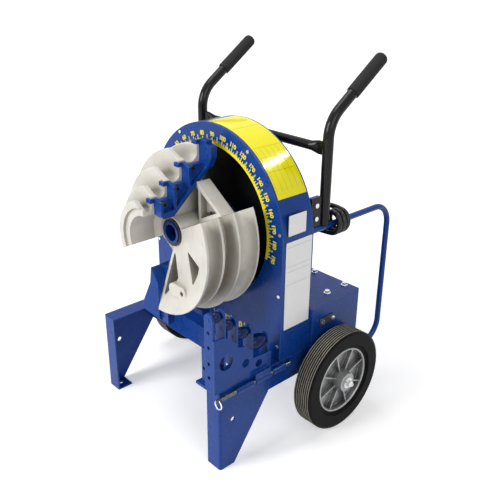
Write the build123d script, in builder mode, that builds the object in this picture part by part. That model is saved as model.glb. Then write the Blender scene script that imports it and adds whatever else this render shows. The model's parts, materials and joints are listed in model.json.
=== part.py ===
import os
from math import atan2, cos, pi, radians, sin, sqrt, tan

from build123d import *

os.makedirs("parts", exist_ok=True)

# Frame: origin on the floor midway between the two anchor holes in the feet,
# X across the machine, Y from the shoe side to the back, Z up. Sizes in mm.

# Fits
run_gap = 0.05
seat_gap = 0.3
split_gap = 0.6

# Tower and base
shaft_z = 638.0
dial_y = 205.0
tower_r = 295.0
seam_z = 271.0
tray_over_axle = 29.0
tray_plate = 4.0
sheet = 3.0
flange_w = 20.0
dial_hole_r = 232.0
dial_lip = 12.0
screw_r = 2.5
screw_inset = 10.0
dial_screw_angles = (7.0, 58.0, 122.0, 173.0)
side_screw_z = (320.0, 485.0)

# Legs
foot_half = 27.0
leg_back = 41.0
leg_w = 56.0
leg_plate = 5.0
leg_round = 8.0
leg_top_z = 273.0
anchor_r = 7.0
anchor_inset = 28.0
wall_hole_r = 8.0
wall_hole_at = (22.0, 160.0)

# Shaft, bearings and gears
shaft_r = 34.0
shaft_bore_r = 25.0
shaft_front = 160.0
bearing_r = 62.0
bearing_t = 14.0
bearing_plate_t = 10.0
drum_depth = 62.0
gear_gap = 8.0
cover_gap = 4.0
gear_module = 5.0
gear_teeth = 96
pinion_teeth = 24
gear_w = 20.0
tooth_play = 0.8
pinion_shaft_r = 20.0
key_w = 12.0
key_h = 9.0

# Shoe castings, distances ahead of the dial face
hub_r = 48.0
hub_front = 152.0
casting_back = 40.0
split_angle = 27.0
groove_play = 0.4
small_clr = (94.0, 130.0, 170.0, 220.0)
small_od = (21.3, 29.5, 38.4, 48.3)
small_wall = (15.0, 15.8, 14.3, 14.8, 17.4)
small_rise = (23.0, 20.0, 25.0, 18.0)
small_back_rise = 23.0
trim_length = (45.0, 55.0, 70.0, 80.0)
lip_r = 95.0
lip_depth = 7.0
cavity_r = 72.0
cavity_at = 168.0
crest_round = 4.0
large_inset = 1.0
large_clr = (209.6, 241.3)
large_od = (48.3, 60.3)
large_wall = (9.5, 8.5, 6.5, 5.4)
large_rise = ((21.4, 18.4), (3.7, 5.7))
large_space = 35.0
large_space_r = 190.0
chord_r = 140.0
chord_angle = 55.0
chord_wall = 14.0
gap_depth = 48.0
gap_web = 27.0

# Hooks
bar_t = 33.0
hook_step = 8.0
hook_reach = 14.0
hook_tab = 6.0
hook_over = 8.0
hook_cover = 12.0
hook_slope = 10.0
bar_pocket = 17.0
rail_w = 15.0
rail_up = (14.0, 15.0)
rail_down = (46.0, 14.0)
rail_back = (9.0, -2.0, 7.0, 20.0)
last_finger_w = 54.0
last_finger_low = 42.0
last_finger_top = 24.0
last_finger_cut = (20.0, 34.0)
hook_screw_r = 5.0
bar_screw_ahead = (4.0, 8.0, 11.0)
bar_screw_drop = (30.0, 34.0, 36.0)
big_hook_t = 33.0
big_hook_w = 66.0
big_hook_top = 100.0
big_hook_play = 2.0
big_hook_jaw = 38.0
big_hook_reach = 32.0
big_cheek_t = (5.0, 19.0)
big_hook_bolts = ((114.0, 18.0), (78.0, 24.0))
big_head_t = 7.0
shoe_bolt_r = 5.0
shoe_bolt_at = (100.0, 80.0)
shoe_bolt_length = 45.0

# Roller support
roller_inset = 23.0
roller_down = (139.0, 178.0, 224.0, 275.0)
roller_r = (16.0, 16.0, 17.0, 22.0)
roller_shoulder = 7.5
divider_at = (246.0, 206.5, 162.5, 105.5, 40.5)
divider_t = 7.0
divider_w = 34.0
axle_r = 5.0
bracket_over = 1.0
bracket_w = 82.0
base_t = 8.0
side_t = 6.0
hinge_over = 9.0
hinge_down = 16.0
hinge_pin_r = 6.0
knuckle_r = 9.0
pin_front = 252.0
pin_back = 39.0
ring_r = 13.0
ring_wire_r = 2.0
tang_t = 5.0
knuckle_spans = ((178.0, 116.0), (37.0, -15.0))
moving_span = (107.0, 46.0)
front_plate_top = 394.0
front_holes = ((10.0, 372.0, 14.0), (28.0, 330.0, 9.0))
side_holes = ((208.0, 361.0, 24.0), (136.0, 328.0, 13.5), (84.0, 306.0, 13.0))

# Drive housing
housing_over = 13.0
housing_back = 343.0
housing_flange = 62.0
bolt_r = 4.5
washer_r = 11.0
washer_t = 2.0
bolt_inset = (46.0, 18.0)
mid_bolt_x = 134.0
front_bolt_at = 242.0
side_plate_y = (157.0, 219.0)
side_plate_z = (339.0, 362.0)
side_bolt_inset = 9.0
inlet_x = -180.0
inlet_z = 300.0
inlet_r = 26.5
gearbox_half = 78.0
gearbox_up = 56.0
gearbox_down = 72.0
motor_r = 62.0
motor_drop = 20.0
motor_back = 74.0
motor_head = 25.0
motor_clear = 26.0
fan_t = 26.0
control_inset = 38.0
control_size = (160.0, 120.0, 133.0)

# Wheels
wheel_r = 164.0
tyre_gap = 20.0
tyre_w = 65.0
rim_r = 108.0
wheel_at = 194.0
wheel_axle_r = 10.0
axle_over = 24.0
axle_washer_t = 3.0
split_pin_r = 2.0
split_pin_half = 15.0
split_pin_inset = 6.0
split_pin_eye = (6.0, 2.2, 3.0)
split_pin_tilt = 40.0
axle_bracket_t = 28.0
axle_bracket_inset = 5.0
tread_ribs = 8
tread_groove_w = 3.0
tread_groove_d = 3.5
shoulder = 4.0
rim_set = 7.0
rim_t = 7.0
rim_web_t = 9.0
rim_hub_r = 30.0
rim_hub_over = 18.0
fin_count = 8
fin_turn = 17.5
fin_t = 4.5
fin_drop = 5.0

# Handles and stand tubes
handle_inset = 20.0
handle_at = 190.0
tube_r = 15.875
tube_wall = 2.0
handle_knee = 957.0
handle_tip = (405.0, 1109.0)
handle_bend = 95.0
grip_r = 19.5
grip_length = 150.0
cross_r = 14.0
cross_z = 878.0
bracket_up = (19.0, 108.0)
bracket_bolt_back = 150.0
bracket_bolt_up = (44.0, 84.0)
lug_short = 6.0
stand_r = 9.5
stand_up = 8.0
stand_back = 507.0
stand_low = 150.0
stand_socket = 21.0
stand_bend = 70.0

# Hand control and its cable
cable_r = 8.0
loop_r = 32.0
loop_up = 4.0
loop_at = 222.0
loop_pitch = 18.5
loop_turns = 2
pendant_x = 70.0
pendant_w = 56.0
pendant_d = 38.0
pendant_z = (470.0, 610.0)
pendant_gap = 10.0
button_r = 9.0


# Shared places worked out once
gear_at = drum_depth + bearing_plate_t + gear_gap
rear_plate_at = gear_at + gear_w + gear_gap
tower_depth = rear_plate_at + bearing_plate_t + cover_gap + sheet
tray_z = wheel_r + tray_over_axle
big_head_w = 3.4 * hook_screw_r
big_hook_spots = [(ahead, chord_r - inset) for ahead, inset in big_hook_bolts]
tray_floor = tray_z + tray_plate
tower_back = dial_y + tower_depth
wall_in = tower_r - sheet
screw_ring_r = tower_r - screw_inset
anchor_x = tower_r - anchor_inset
gear_r = gear_module * gear_teeth / 2
pinion_r = gear_module * pinion_teeth / 2
pinion_z = shaft_z - gear_r - pinion_r
shoe_axis = Axis((0, 0, shaft_z), (0, -1, 0))
axle_x = tower_r - roller_inset
roller_z = tuple(shaft_z - down for down in roller_down)
bracket_out = tower_r + bracket_over
bracket_in = bracket_out - bracket_w
hinge_x = tower_r + hinge_over
hinge_z = leg_top_z - hinge_down
housing_x = tower_r + housing_over
motor_z = pinion_z - motor_drop
housing_top = motor_z + motor_r + motor_head
tyre_in = housing_x + tyre_gap
tyre_out = tyre_in + tyre_w
axle_end = tyre_out + axle_over
hub_end = tyre_out - rim_set + rim_hub_over
wheel_y = dial_y + wheel_at
wheel_z = wheel_r
handle_x = tower_r - handle_inset
stand_z = shaft_z + stand_up
stand_end = housing_back - stand_socket
handle_low = stand_z + stand_r + 0.5
bracket_z = tuple(shaft_z + up for up in bracket_up)
bracket_bolts = tuple((bracket_bolt_back, shaft_z + up) for up in bracket_bolt_up)
loop_z = stand_z + loop_up


# Middle of each groove, counted forward from the dial face: back wall first, then groove by groove
def groove_places(back, widths, walls):
    places = []
    edge = back
    for width, wall in zip(reversed(widths), reversed(walls)):
        half = width / 2 + groove_play
        places.append(edge + wall + half)
        edge = places[-1] + half
    return tuple(reversed(places)), edge


small_at, small_edge = groove_places(casting_back, small_od, small_wall[1:])
small_front = small_edge + small_wall[0]
small_crest = tuple(clr + rise for clr, rise in zip(small_clr, small_rise))
small_back_crest = small_clr[-1] + small_back_rise
large_walls = (large_wall[1] + large_space + large_wall[2], large_wall[3])
large_at, large_edge = groove_places(casting_back + large_inset, large_od, large_walls)
large_front = large_edge + large_wall[0]
large_crest = tuple((clr + rise[0], clr + rise[1]) for clr, rise in zip(large_clr, large_rise))
large_gap_back = large_at[1] + large_od[1] / 2 + groove_play + large_wall[2]
large_gap = (large_gap_back + large_space, large_gap_back)
bar_screws = tuple(
    (small_at[index + 1] + bar_screw_ahead[index], small_clr[index + 1] - bar_screw_drop[index])
    for index in range(3)
)


def slab(x, y, z, mode=Mode.ADD):
    with Locations(((x[0] + x[1]) / 2, (y[0] + y[1]) / 2, (z[0] + z[1]) / 2)):
        Box(abs(x[1] - x[0]), abs(y[1] - y[0]), abs(z[1] - z[0]), mode=mode)


def rod(radius, start, length, direction, mode=Mode.ADD):
    with Locations(Plane(start, z_dir=direction).location):
        Cylinder(radius, length, align=(Align.CENTER, Align.CENTER, Align.MIN), mode=mode)


def hexagon(across, start, length, direction):
    with Locations(Plane(start, z_dir=direction).location):
        height = (Align.CENTER, Align.CENTER, Align.MIN)
        Box(across, across / sqrt(3), length, align=height)
        for turn in (60, 120):
            Box(across, across / sqrt(3), length, rotation=(0, 0, turn), align=height)


def arch(radius, y0, y1, bottom_z, mode=Mode.ADD):
    rod(radius, (0, y0, shaft_z), y1 - y0, (0, 1, 0), mode)
    slab((-radius, radius), (y0, y1), (bottom_z, shaft_z), mode)


def save(builder, name):
    builder.part.label = name
    export_step(builder.part, f"parts/{name}.step")


def front_screw_places():
    places = []
    for angle in dial_screw_angles:
        turn = radians(angle)
        places.append((screw_ring_r * cos(turn), shaft_z + screw_ring_r * sin(turn)))
    for z in side_screw_z:
        places.append((screw_ring_r, z))
        places.append((-screw_ring_r, z))
    return places


# Legs: side wall, front flange, top flange and foot in one folded sheet
def build_leg(name, side):
    x0 = min(side * tower_r, side * (tower_r - leg_plate))
    flange_x = sorted((side * tower_r, side * (tower_r - leg_w)))
    y0 = -foot_half
    y1 = foot_half
    y2 = dial_y - leg_back
    with BuildPart() as leg:
        with BuildSketch(Plane.YZ.offset(x0)):
            with BuildLine():
                Polyline((y0, 0), (y1, 0), (y2, tray_z), (y2, leg_top_z), (y0, leg_top_z), close=True)
            make_face()
        extrude(amount=leg_plate)
        slab(flange_x, (y0, y0 + leg_plate), (0, leg_top_z))
        slab(flange_x, (y0, y2), (leg_top_z - leg_plate, leg_top_z))
        slab(flange_x, (y0, y1), (0, leg_plate))
        outer = leg.edges().filter_by(Axis.Z).filter_by_position(Axis.Y, y0 - 0.1, y0 + 0.1)
        fillet(outer.sort_by(Axis.X)[-1 if side > 0 else 0], leg_round)
        rod(anchor_r, (side * anchor_x, 0, -1), leg_plate + 2, (0, 0, 1), Mode.SUBTRACT)
        rod(wall_hole_r, (x0 - 1, *wall_hole_at), leg_plate + 2, (1, 0, 0), Mode.SUBTRACT)
    save(leg, name)


build_leg("left_leg", -1)
build_leg("right_leg", 1)

# Base tray: floor, side walls, front wall and the deck in front of the dial
tray_front = dial_y - leg_back
tray_back = dial_y + housing_back
with BuildPart() as base_tray:
    slab((-tower_r, tower_r), (tray_front, tower_back), (tray_z, tray_floor))
    slab((-housing_x, housing_x), (tower_back, tray_back), (tray_z, tray_floor))
    slab((wall_in, tower_r), (tray_front, tower_back), (tray_z, seam_z))
    slab((-tower_r, -wall_in), (tray_front, tower_back), (tray_z, seam_z))
    slab((-tower_r, tower_r), (tray_front, tray_front + sheet), (tray_z, seam_z))
    slab((-tower_r, tower_r), (tray_front, dial_y - seat_gap), (seam_z - sheet, seam_z))
save(base_tray, "base_tray")

# Tower skin: arched wrap with a flange at each edge
with BuildPart() as tower_shell:
    arch(tower_r, dial_y + sheet, tower_back - sheet, seam_z)
    arch(wall_in - flange_w, dial_y, tower_back, seam_z - 1, Mode.SUBTRACT)
    arch(wall_in, dial_y + 2 * sheet, tower_back - 2 * sheet, seam_z - 1, Mode.SUBTRACT)
    for x, z in front_screw_places():
        rod(screw_r + 0.2, (x, dial_y, z), tower_depth, (0, 1, 0), Mode.SUBTRACT)
save(tower_shell, "tower_shell")

# Dial plate with a returned edge round the big hole
with BuildPart() as dial_plate:
    arch(tower_r, dial_y, dial_y + sheet, seam_z)
    rod(dial_hole_r + sheet, (0, dial_y, shaft_z), dial_lip, (0, 1, 0))
    rod(dial_hole_r, (0, dial_y - 1, shaft_z), dial_lip + 2, (0, 1, 0), Mode.SUBTRACT)
    for x, z in front_screw_places():
        rod(screw_r + 0.2, (x, dial_y - 1, z), sheet + 2, (0, 1, 0), Mode.SUBTRACT)
save(dial_plate, "dial_plate")

# Back cover with a hole for the pinion shaft and two lugs for the handles
strap_x = (handle_x - 3, handle_x + 3)
lug_x = (strap_x[0] - 8, strap_x[0] - seat_gap)
lug_y1 = dial_y + handle_at - tube_r - lug_short
with BuildPart() as back_cover:
    arch(tower_r, tower_back - sheet, tower_back, seam_z)
    rod(pinion_shaft_r + 12, (0, tower_back - sheet - 1, pinion_z), sheet + 2, (0, 1, 0), Mode.SUBTRACT)
    for x, z in front_screw_places():
        rod(screw_r + 0.2, (x, tower_back - sheet - 1, z), sheet + 2, (0, 1, 0), Mode.SUBTRACT)
    for side in (-1, 1):
        slab([side * v for v in lug_x], (tower_back - 1, lug_y1), bracket_z)
    for back, z in bracket_bolts:
        rod(5.2, (-tower_r, dial_y + back, z), 2 * tower_r, (1, 0, 0), Mode.SUBTRACT)
save(back_cover, "back_cover")

# Screws that hold the dial plate and the back cover, flat heads outside
with BuildPart() as panel_screws:
    for x, z in front_screw_places():
        for y, inward in ((dial_y, 1), (tower_back, -1)):
            rod(screw_r, (x, y - inward, z), 2.4 * sheet, (0, inward, 0))
            rod(2 * screw_r, (x, y - 2.2 * inward, z), 2.2, (0, inward, 0))
save(panel_screws, "panel_screws")

# Black drum behind the dial hole
drum_r = dial_hole_r + sheet + 2
drum_length = drum_depth - sheet - seat_gap
with BuildPart() as drum_liner:
    rod(drum_r + sheet, (0, dial_y + sheet + seat_gap, shaft_z), drum_length, (0, 1, 0))
    rod(drum_r, (0, dial_y, shaft_z), drum_depth - sheet, (0, 1, 0), Mode.SUBTRACT)
    rod(shaft_r + 6, (0, dial_y, shaft_z), drum_depth + 1, (0, 1, 0), Mode.SUBTRACT)
save(drum_liner, "drum_liner")


# Two plates across the tower that carry the shaft bearings
with BuildPart() as bearing_plates:
    for at in (drum_depth, rear_plate_at):
        y0 = dial_y + at
        arch(wall_in - seat_gap, y0, y0 + bearing_plate_t, tray_floor)
        rod(bearing_r + run_gap, (0, y0 - 1, shaft_z), bearing_plate_t + 2, (0, 1, 0), Mode.SUBTRACT)
        rod(
            pinion_shaft_r + run_gap, (0, y0 - 1, pinion_z), bearing_plate_t + 2, (0, 1, 0), Mode.SUBTRACT,
        )
save(bearing_plates, "bearing_plates")

with BuildPart() as shaft_bearings:
    for y0 in (dial_y + drum_depth, dial_y + rear_plate_at + bearing_plate_t - bearing_t):
        rod(bearing_r, (0, y0, shaft_z), bearing_t, (0, 1, 0))
        rod(shaft_r + run_gap, (0, y0 - 1, shaft_z), bearing_t + 2, (0, 1, 0), Mode.SUBTRACT)
save(shaft_bearings, "shaft_bearings")

# Main shaft, a tube with a long keyway
shaft_y0 = dial_y - shaft_front
shaft_y1 = dial_y + rear_plate_at + bearing_plate_t + 1
gear_y0 = dial_y + gear_at
gear_y1 = gear_y0 + gear_w
casting_y1 = dial_y - casting_back
shoe_key_y = (dial_y - hub_front + 12, casting_y1 - 6)
gear_key_y = (gear_y0 + 1, gear_y1 - 1)
key_z = (shaft_z + shaft_r - key_h / 2, shaft_z + shaft_r + key_h / 2)
with BuildPart() as main_shaft:
    rod(shaft_r, (0, shaft_y0, shaft_z), shaft_y1 - shaft_y0, (0, 1, 0))
    rod(shaft_bore_r, (0, shaft_y0 - 1, shaft_z), shaft_y1 - shaft_y0 + 2, (0, 1, 0), Mode.SUBTRACT)
    for span in (shoe_key_y, gear_key_y):
        keyway = (span[0] - run_gap, span[1] + run_gap)
        slab((-key_w / 2, key_w / 2), keyway, (key_z[0], key_z[1] + key_h), Mode.SUBTRACT)
save(main_shaft, "main_shaft")

with BuildPart() as shaft_keys:
    for span in (shoe_key_y, gear_key_y):
        slab((-key_w / 2 + run_gap, key_w / 2 - run_gap), span, (key_z[0] + run_gap, key_z[1]))
save(shaft_keys, "shaft_keys")

with BuildPart() as retaining_ring:
    rod(shaft_r + 7, (0, dial_y - hub_front - 5, shaft_z), 5 - seat_gap, (0, 1, 0))
    rod(shaft_r + run_gap, (0, dial_y - hub_front - 6, shaft_z), 7, (0, 1, 0), Mode.SUBTRACT)
save(retaining_ring, "retaining_ring")


def gear_points(teeth, module, phase):
    pitch = module * teeth / 2
    points = []
    half = (pi * module / 2 - tooth_play) / 2 / pitch
    for index in range(teeth):
        mid = phase + 2 * pi * index / teeth
        root = pitch - 1.25 * module
        tip = pitch + module
        for radius, side in ((root, -1), (tip, -1), (tip, 1), (root, 1)):
            turn = mid + side * (half - (radius - pitch) * tan(radians(20)) / pitch)
            points.append((radius * cos(turn), radius * sin(turn)))
    return points


# Drive gear on the shaft, one tooth straight down into the pinion
gear_plane = Plane((0, gear_y1, shaft_z), x_dir=(1, 0, 0), z_dir=(0, -1, 0))
with BuildPart() as drive_gear:
    with BuildSketch(gear_plane):
        with BuildLine():
            Polyline(*gear_points(gear_teeth, gear_module, -pi / 2), close=True)
        make_face()
        Circle(shaft_r + run_gap, mode=Mode.SUBTRACT)
        with PolarLocations(gear_r * 0.6, 6):
            Circle(gear_r * 0.19, mode=Mode.SUBTRACT)
    extrude(amount=gear_w)
    slab((-key_w / 2, key_w / 2), (gear_y0 - 1, gear_y1 + 1), (shaft_z, key_z[1] + run_gap), Mode.SUBTRACT)
save(drive_gear, "drive_gear")

# Pinion with its shaft, a gap straight up
pinion_plane = Plane((0, gear_y1, pinion_z), x_dir=(1, 0, 0), z_dir=(0, -1, 0))
pinion_y0 = dial_y + drum_depth
pinion_y1 = tower_back + 30
with BuildPart() as pinion:
    with BuildSketch(pinion_plane):
        with BuildLine():
            Polyline(*gear_points(pinion_teeth, gear_module, pi / 2 + pi / pinion_teeth), close=True)
        make_face()
    extrude(amount=gear_w)
    rod(pinion_shaft_r, (0, pinion_y0, pinion_z), pinion_y1 - pinion_y0, (0, 1, 0))
save(pinion, "pinion")

# Ribbed block that fills the ungrooved part of each casting
split_dir = (cos(radians(split_angle)), sin(radians(split_angle)))
chord_dir = (cos(radians(chord_angle)), sin(radians(chord_angle)))
block_x = bar_t + 1.5
block_end = chord_r / cos(radians(chord_angle - split_angle))
block_b = (block_end * split_dir[0], block_end * split_dir[1])
block_a = (block_x, (chord_r - block_x * chord_dir[0]) / chord_dir[1])
block_c = (block_x, block_x * split_dir[1] / split_dir[0])
block_plane = Plane((0, casting_y1, shaft_z), x_dir=(1, 0, 0), z_dir=(0, -1, 0))
inner_back = 1.6 * chord_wall
inner_b_z = block_b[1] - inner_back * split_dir[1] + chord_wall
inner_b = (block_b[0] - inner_back * split_dir[0], inner_b_z)
inner_a = (block_a[0], block_a[1] - chord_wall / chord_dir[1])
inner_c = (block_c[0], block_c[1] + chord_wall)
with BuildPart() as gap_block:
    with BuildSketch(block_plane):
        with BuildLine():
            Polyline(block_a, block_b, block_c, close=True)
        make_face()
    extrude(amount=gap_depth)
    with BuildSketch(block_plane.offset(gap_web)):
        with BuildLine():
            Polyline(inner_a, inner_b, inner_c, close=True)
        make_face()
    extrude(amount=gap_depth, mode=Mode.SUBTRACT)
    rib_x = (block_x + 6, block_x + 16)
    rib_top = (chord_r - rib_x[1] * chord_dir[0]) / chord_dir[1]
    rib_y = (casting_y1 - gap_depth, casting_y1 - gap_web)
    slab(rib_x, rib_y, (shaft_z + block_c[1] + 12, shaft_z + rib_top))

# Places of the two bolts that clamp the castings together, seen along the split
split_normal = (-split_dir[1], split_dir[0])
bolt_seat = chord_wall * split_dir[0] + seat_gap


def shoe_bolt_line(turn, height):
    x = turn * (shoe_bolt_at[0] * split_dir[0] + height * split_normal[0])
    z = turn * (shoe_bolt_at[0] * split_dir[1] + height * split_normal[1])
    return (x, dial_y - shoe_bolt_at[1], shaft_z + z)


def shoe_bolt_holes():
    for turn in (-1, 1):
        down = (-turn * split_normal[0], 0, -turn * split_normal[1])
        rod(shoe_bolt_r + run_gap, shoe_bolt_line(turn, bolt_seat), shoe_bolt_length, down, Mode.SUBTRACT)


# Upper casting with four grooves
trim_slack = 6.0
with BuildPart() as small_shoe:
    with BuildSketch(Plane.YZ) as small_profile:
        with BuildLine():
            start = (dial_y - small_front, shaft_z + lip_r)
            pen = start
            for clr, od, at, crest in zip(small_clr, small_od, small_at, small_crest):
                half = od / 2 + groove_play
                mid = dial_y - at
                low = shaft_z + clr
                Polyline(pen, (pen[0], shaft_z + crest), (mid - half, shaft_z + crest), (mid - half, low))
                ThreePointArc((mid - half, low), (mid, low - half), (mid + half, low))
                pen = (mid + half, low)
            Polyline(
                pen,
                (pen[0], shaft_z + small_back_crest),
                (casting_y1, shaft_z + small_back_crest),
                (casting_y1, shaft_z + shaft_r + run_gap),
                (dial_y - hub_front, shaft_z + shaft_r + run_gap),
                (dial_y - hub_front, shaft_z + hub_r + 8),
                (dial_y - cavity_at, shaft_z + cavity_r),
                (start[0] + lip_depth, shaft_z + cavity_r),
                (start[0] + lip_depth, start[1]),
                start,
            )
        make_face()
        crest_levels = small_crest + (small_back_crest,)
        crest_points = [v for v in small_profile.vertices() if round(v.Y - shaft_z, 3) in crest_levels]
        fillet(crest_points, crest_round)
    revolve(axis=shoe_axis, revolution_arc=90 + split_angle)
    with BuildSketch(Plane.YZ):
        with BuildLine():
            y0 = dial_y - hub_front
            z0 = shaft_z + shaft_r + run_gap
            z1 = shaft_z + hub_r
            Polyline((y0, z0), (y0, z1), (casting_y1, z1), (casting_y1, z0), close=True)
        make_face()
    revolve(axis=shoe_axis, revolution_arc=-(90 - split_angle))
    add(gap_block.part)
    for clr, od, at, crest, length in zip(small_clr, small_od, small_at, small_crest, trim_length):
        top = crest + trim_slack
        with BuildSketch(Plane((0, dial_y - at, shaft_z), x_dir=(1, 0, 0), z_dir=(0, -1, 0))):
            with BuildLine():
                Polyline((-length, top), (1, top), (1, clr - 0.3 * od), close=True)
            make_face()
        extrude(amount=od / 2 + groove_play + 22, mode=Mode.SUBTRACT)
    shoe_keyway = (shoe_key_y[0] - 1, shoe_key_y[1] + 1)
    slab((-key_w / 2, key_w / 2), shoe_keyway, (shaft_z, key_z[1] + run_gap), Mode.SUBTRACT)
    for ahead, up in bar_screws:
        rod(hook_screw_r + run_gap, (1, dial_y - ahead, shaft_z + up), 31, (-1, 0, 0), Mode.SUBTRACT)
    shoe_bolt_holes()
    with Locations(Location((0, dial_y - 150, shaft_z), (0, -split_angle, 0))):
        Box(700, 400, split_gap, mode=Mode.SUBTRACT)
save(small_shoe, "small_shoe")

# Lower casting with two large grooves and a dished front face
pocket_a = ((10, -54), (58, -118), (10, -190))
pocket_b = ((84, -28), (177, -36), (172, -58), (146, -104))
boss_x = (60.0, 99.0)
boss_down = 146.0
boss_r = 20.0
large_y0 = dial_y - large_front
with BuildPart() as large_shoe:
    with BuildSketch(Plane.YZ) as large_profile:
        with BuildLine():
            start = (dial_y - hub_front, shaft_z + shaft_r + run_gap)
            Polyline(start, (start[0], shaft_z + hub_r), (large_y0 + 2, shaft_z + large_clr[0] + 12))
            pen = (large_y0 + 2, shaft_z + large_clr[0] + 12)
            for index in (0, 1):
                half = large_od[index] / 2 + groove_play
                mid = dial_y - large_at[index]
                low = shaft_z + large_clr[index]
                front_top, back_top = (shaft_z + crest for crest in large_crest[index])
                front_edge = (large_y0, dial_y - large_gap[1])[index]
                back_edge = (dial_y - large_gap[0], casting_y1 - large_inset)[index]
                Polyline(pen, (front_edge, front_top), (mid - half, front_top), (mid - half, low))
                ThreePointArc((mid - half, low), (mid, low - half), (mid + half, low))
                Polyline((mid + half, low), (mid + half, back_top), (back_edge, back_top))
                pen = (back_edge, back_top)
                if index == 0:
                    floor = shaft_z + large_space_r
                    Polyline(pen, (back_edge, floor), (dial_y - large_gap[1], floor))
                    pen = (dial_y - large_gap[1], floor)
            Polyline(pen, (casting_y1 - large_inset, shaft_z + shaft_r + run_gap), start)
        make_face()
        large_levels = [crest for pair in large_crest for crest in pair]
        crest_points = [v for v in large_profile.vertices() if round(v.Y - shaft_z, 3) in large_levels]
        fillet(crest_points, crest_round / 2)
    revolve(axis=shoe_axis, revolution_arc=90 + split_angle)
    with BuildSketch(Plane.YZ):
        with BuildLine():
            y0 = dial_y - hub_front
            z0 = shaft_z + shaft_r + run_gap
            z1 = shaft_z + hub_r
            Polyline((y0, z0), (y0, z1), (casting_y1, z1), (casting_y1, z0), close=True)
        make_face()
    revolve(axis=shoe_axis, revolution_arc=-(90 - split_angle))
    add(gap_block.part)
large_half = large_shoe.part.rotate(Axis((0, 0, shaft_z), (0, 1, 0)), 180)
pocket_plane = Plane((0, dial_y - 128, shaft_z), x_dir=(1, 0, 0), z_dir=(0, -1, 0))
with BuildPart() as large_shoe:
    add(large_half)
    for outline in (pocket_a, pocket_b):
        with BuildSketch(pocket_plane) as pocket:
            with BuildLine():
                Polyline(*outline, close=True)
            make_face()
            fillet(pocket.vertices(), 4)
        extrude(amount=110, mode=Mode.SUBTRACT)
    boss_y = dial_y - 203
    for x in boss_x:
        rod(boss_r, (x, boss_y, shaft_z - boss_down), 76, (0, 1, 0))
    slab(boss_x, (boss_y, boss_y + 76), (shaft_z - boss_down - boss_r, shaft_z - boss_down + boss_r))
    rod(7, (boss_x[1], boss_y - 1, shaft_z - boss_down), 36, (0, 1, 0), Mode.SUBTRACT)
    for ahead, down in big_hook_spots:
        rod(hook_screw_r + run_gap, (-1, dial_y - ahead, shaft_z - down), 31, (1, 0, 0), Mode.SUBTRACT)
        spot_face = (-big_hook_t, dial_y - ahead, shaft_z - down)
        rod(big_head_w / sqrt(3) + seat_gap, spot_face, big_head_t + seat_gap, (-1, 0, 0), Mode.SUBTRACT)
    shoe_bolt_holes()
    with Locations(Location((0, dial_y - 150, shaft_z), (0, -split_angle, 0))):
        Box(700, 400, split_gap, mode=Mode.SUBTRACT)
save(large_shoe, "large_shoe")

with BuildPart() as shoe_bolts:
    for turn in (-1, 1):
        up = (turn * split_normal[0], 0, turn * split_normal[1])
        down = (-up[0], 0, -up[2])
        rod(shoe_bolt_r, shoe_bolt_line(turn, bolt_seat), shoe_bolt_length - 1, down)
        rod(1.6 * shoe_bolt_r, shoe_bolt_line(turn, bolt_seat), 2 * shoe_bolt_r, up)
save(shoe_bolts, "shoe_bolts")

# Hook bar on the upper casting: slanted rail, a finger behind each groove with a tab over it,
# and pockets between the fingers for the screws
hook_at = [at - od / 2 - hook_step for at, od in zip(small_at, small_od)]
hook_front = [dial_y - ahead for ahead in hook_at]
hook_top = [clr + od / 2 + hook_cover + 1 for clr, od in zip(small_clr, small_od)]
step_level = [clr - od / 2 - 3 for clr, od in zip(small_clr[1:], small_od[1:])] + [hook_top[3]]
rail = (
    (hook_at[0] - rail_back[0], hub_r + rail_up[0]),
    (hook_at[1] - rail_back[1], hub_r + rail_up[1]),
    (hook_at[3] - rail_back[2], small_clr[3] - rail_down[0]),
    (hook_at[3] - rail_back[3], small_clr[3] - rail_down[1]),
)
rail_slope = (rail[2][1] - rail[1][1]) / (rail[1][0] - rail[2][0])
bar_back = rail[3][0] - 2
pocket_x = bar_t - bar_pocket


def rail_top(ahead):
    return rail[1][1] + max(0, (rail[1][0] - ahead) * rail_slope) + rail_w


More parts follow.
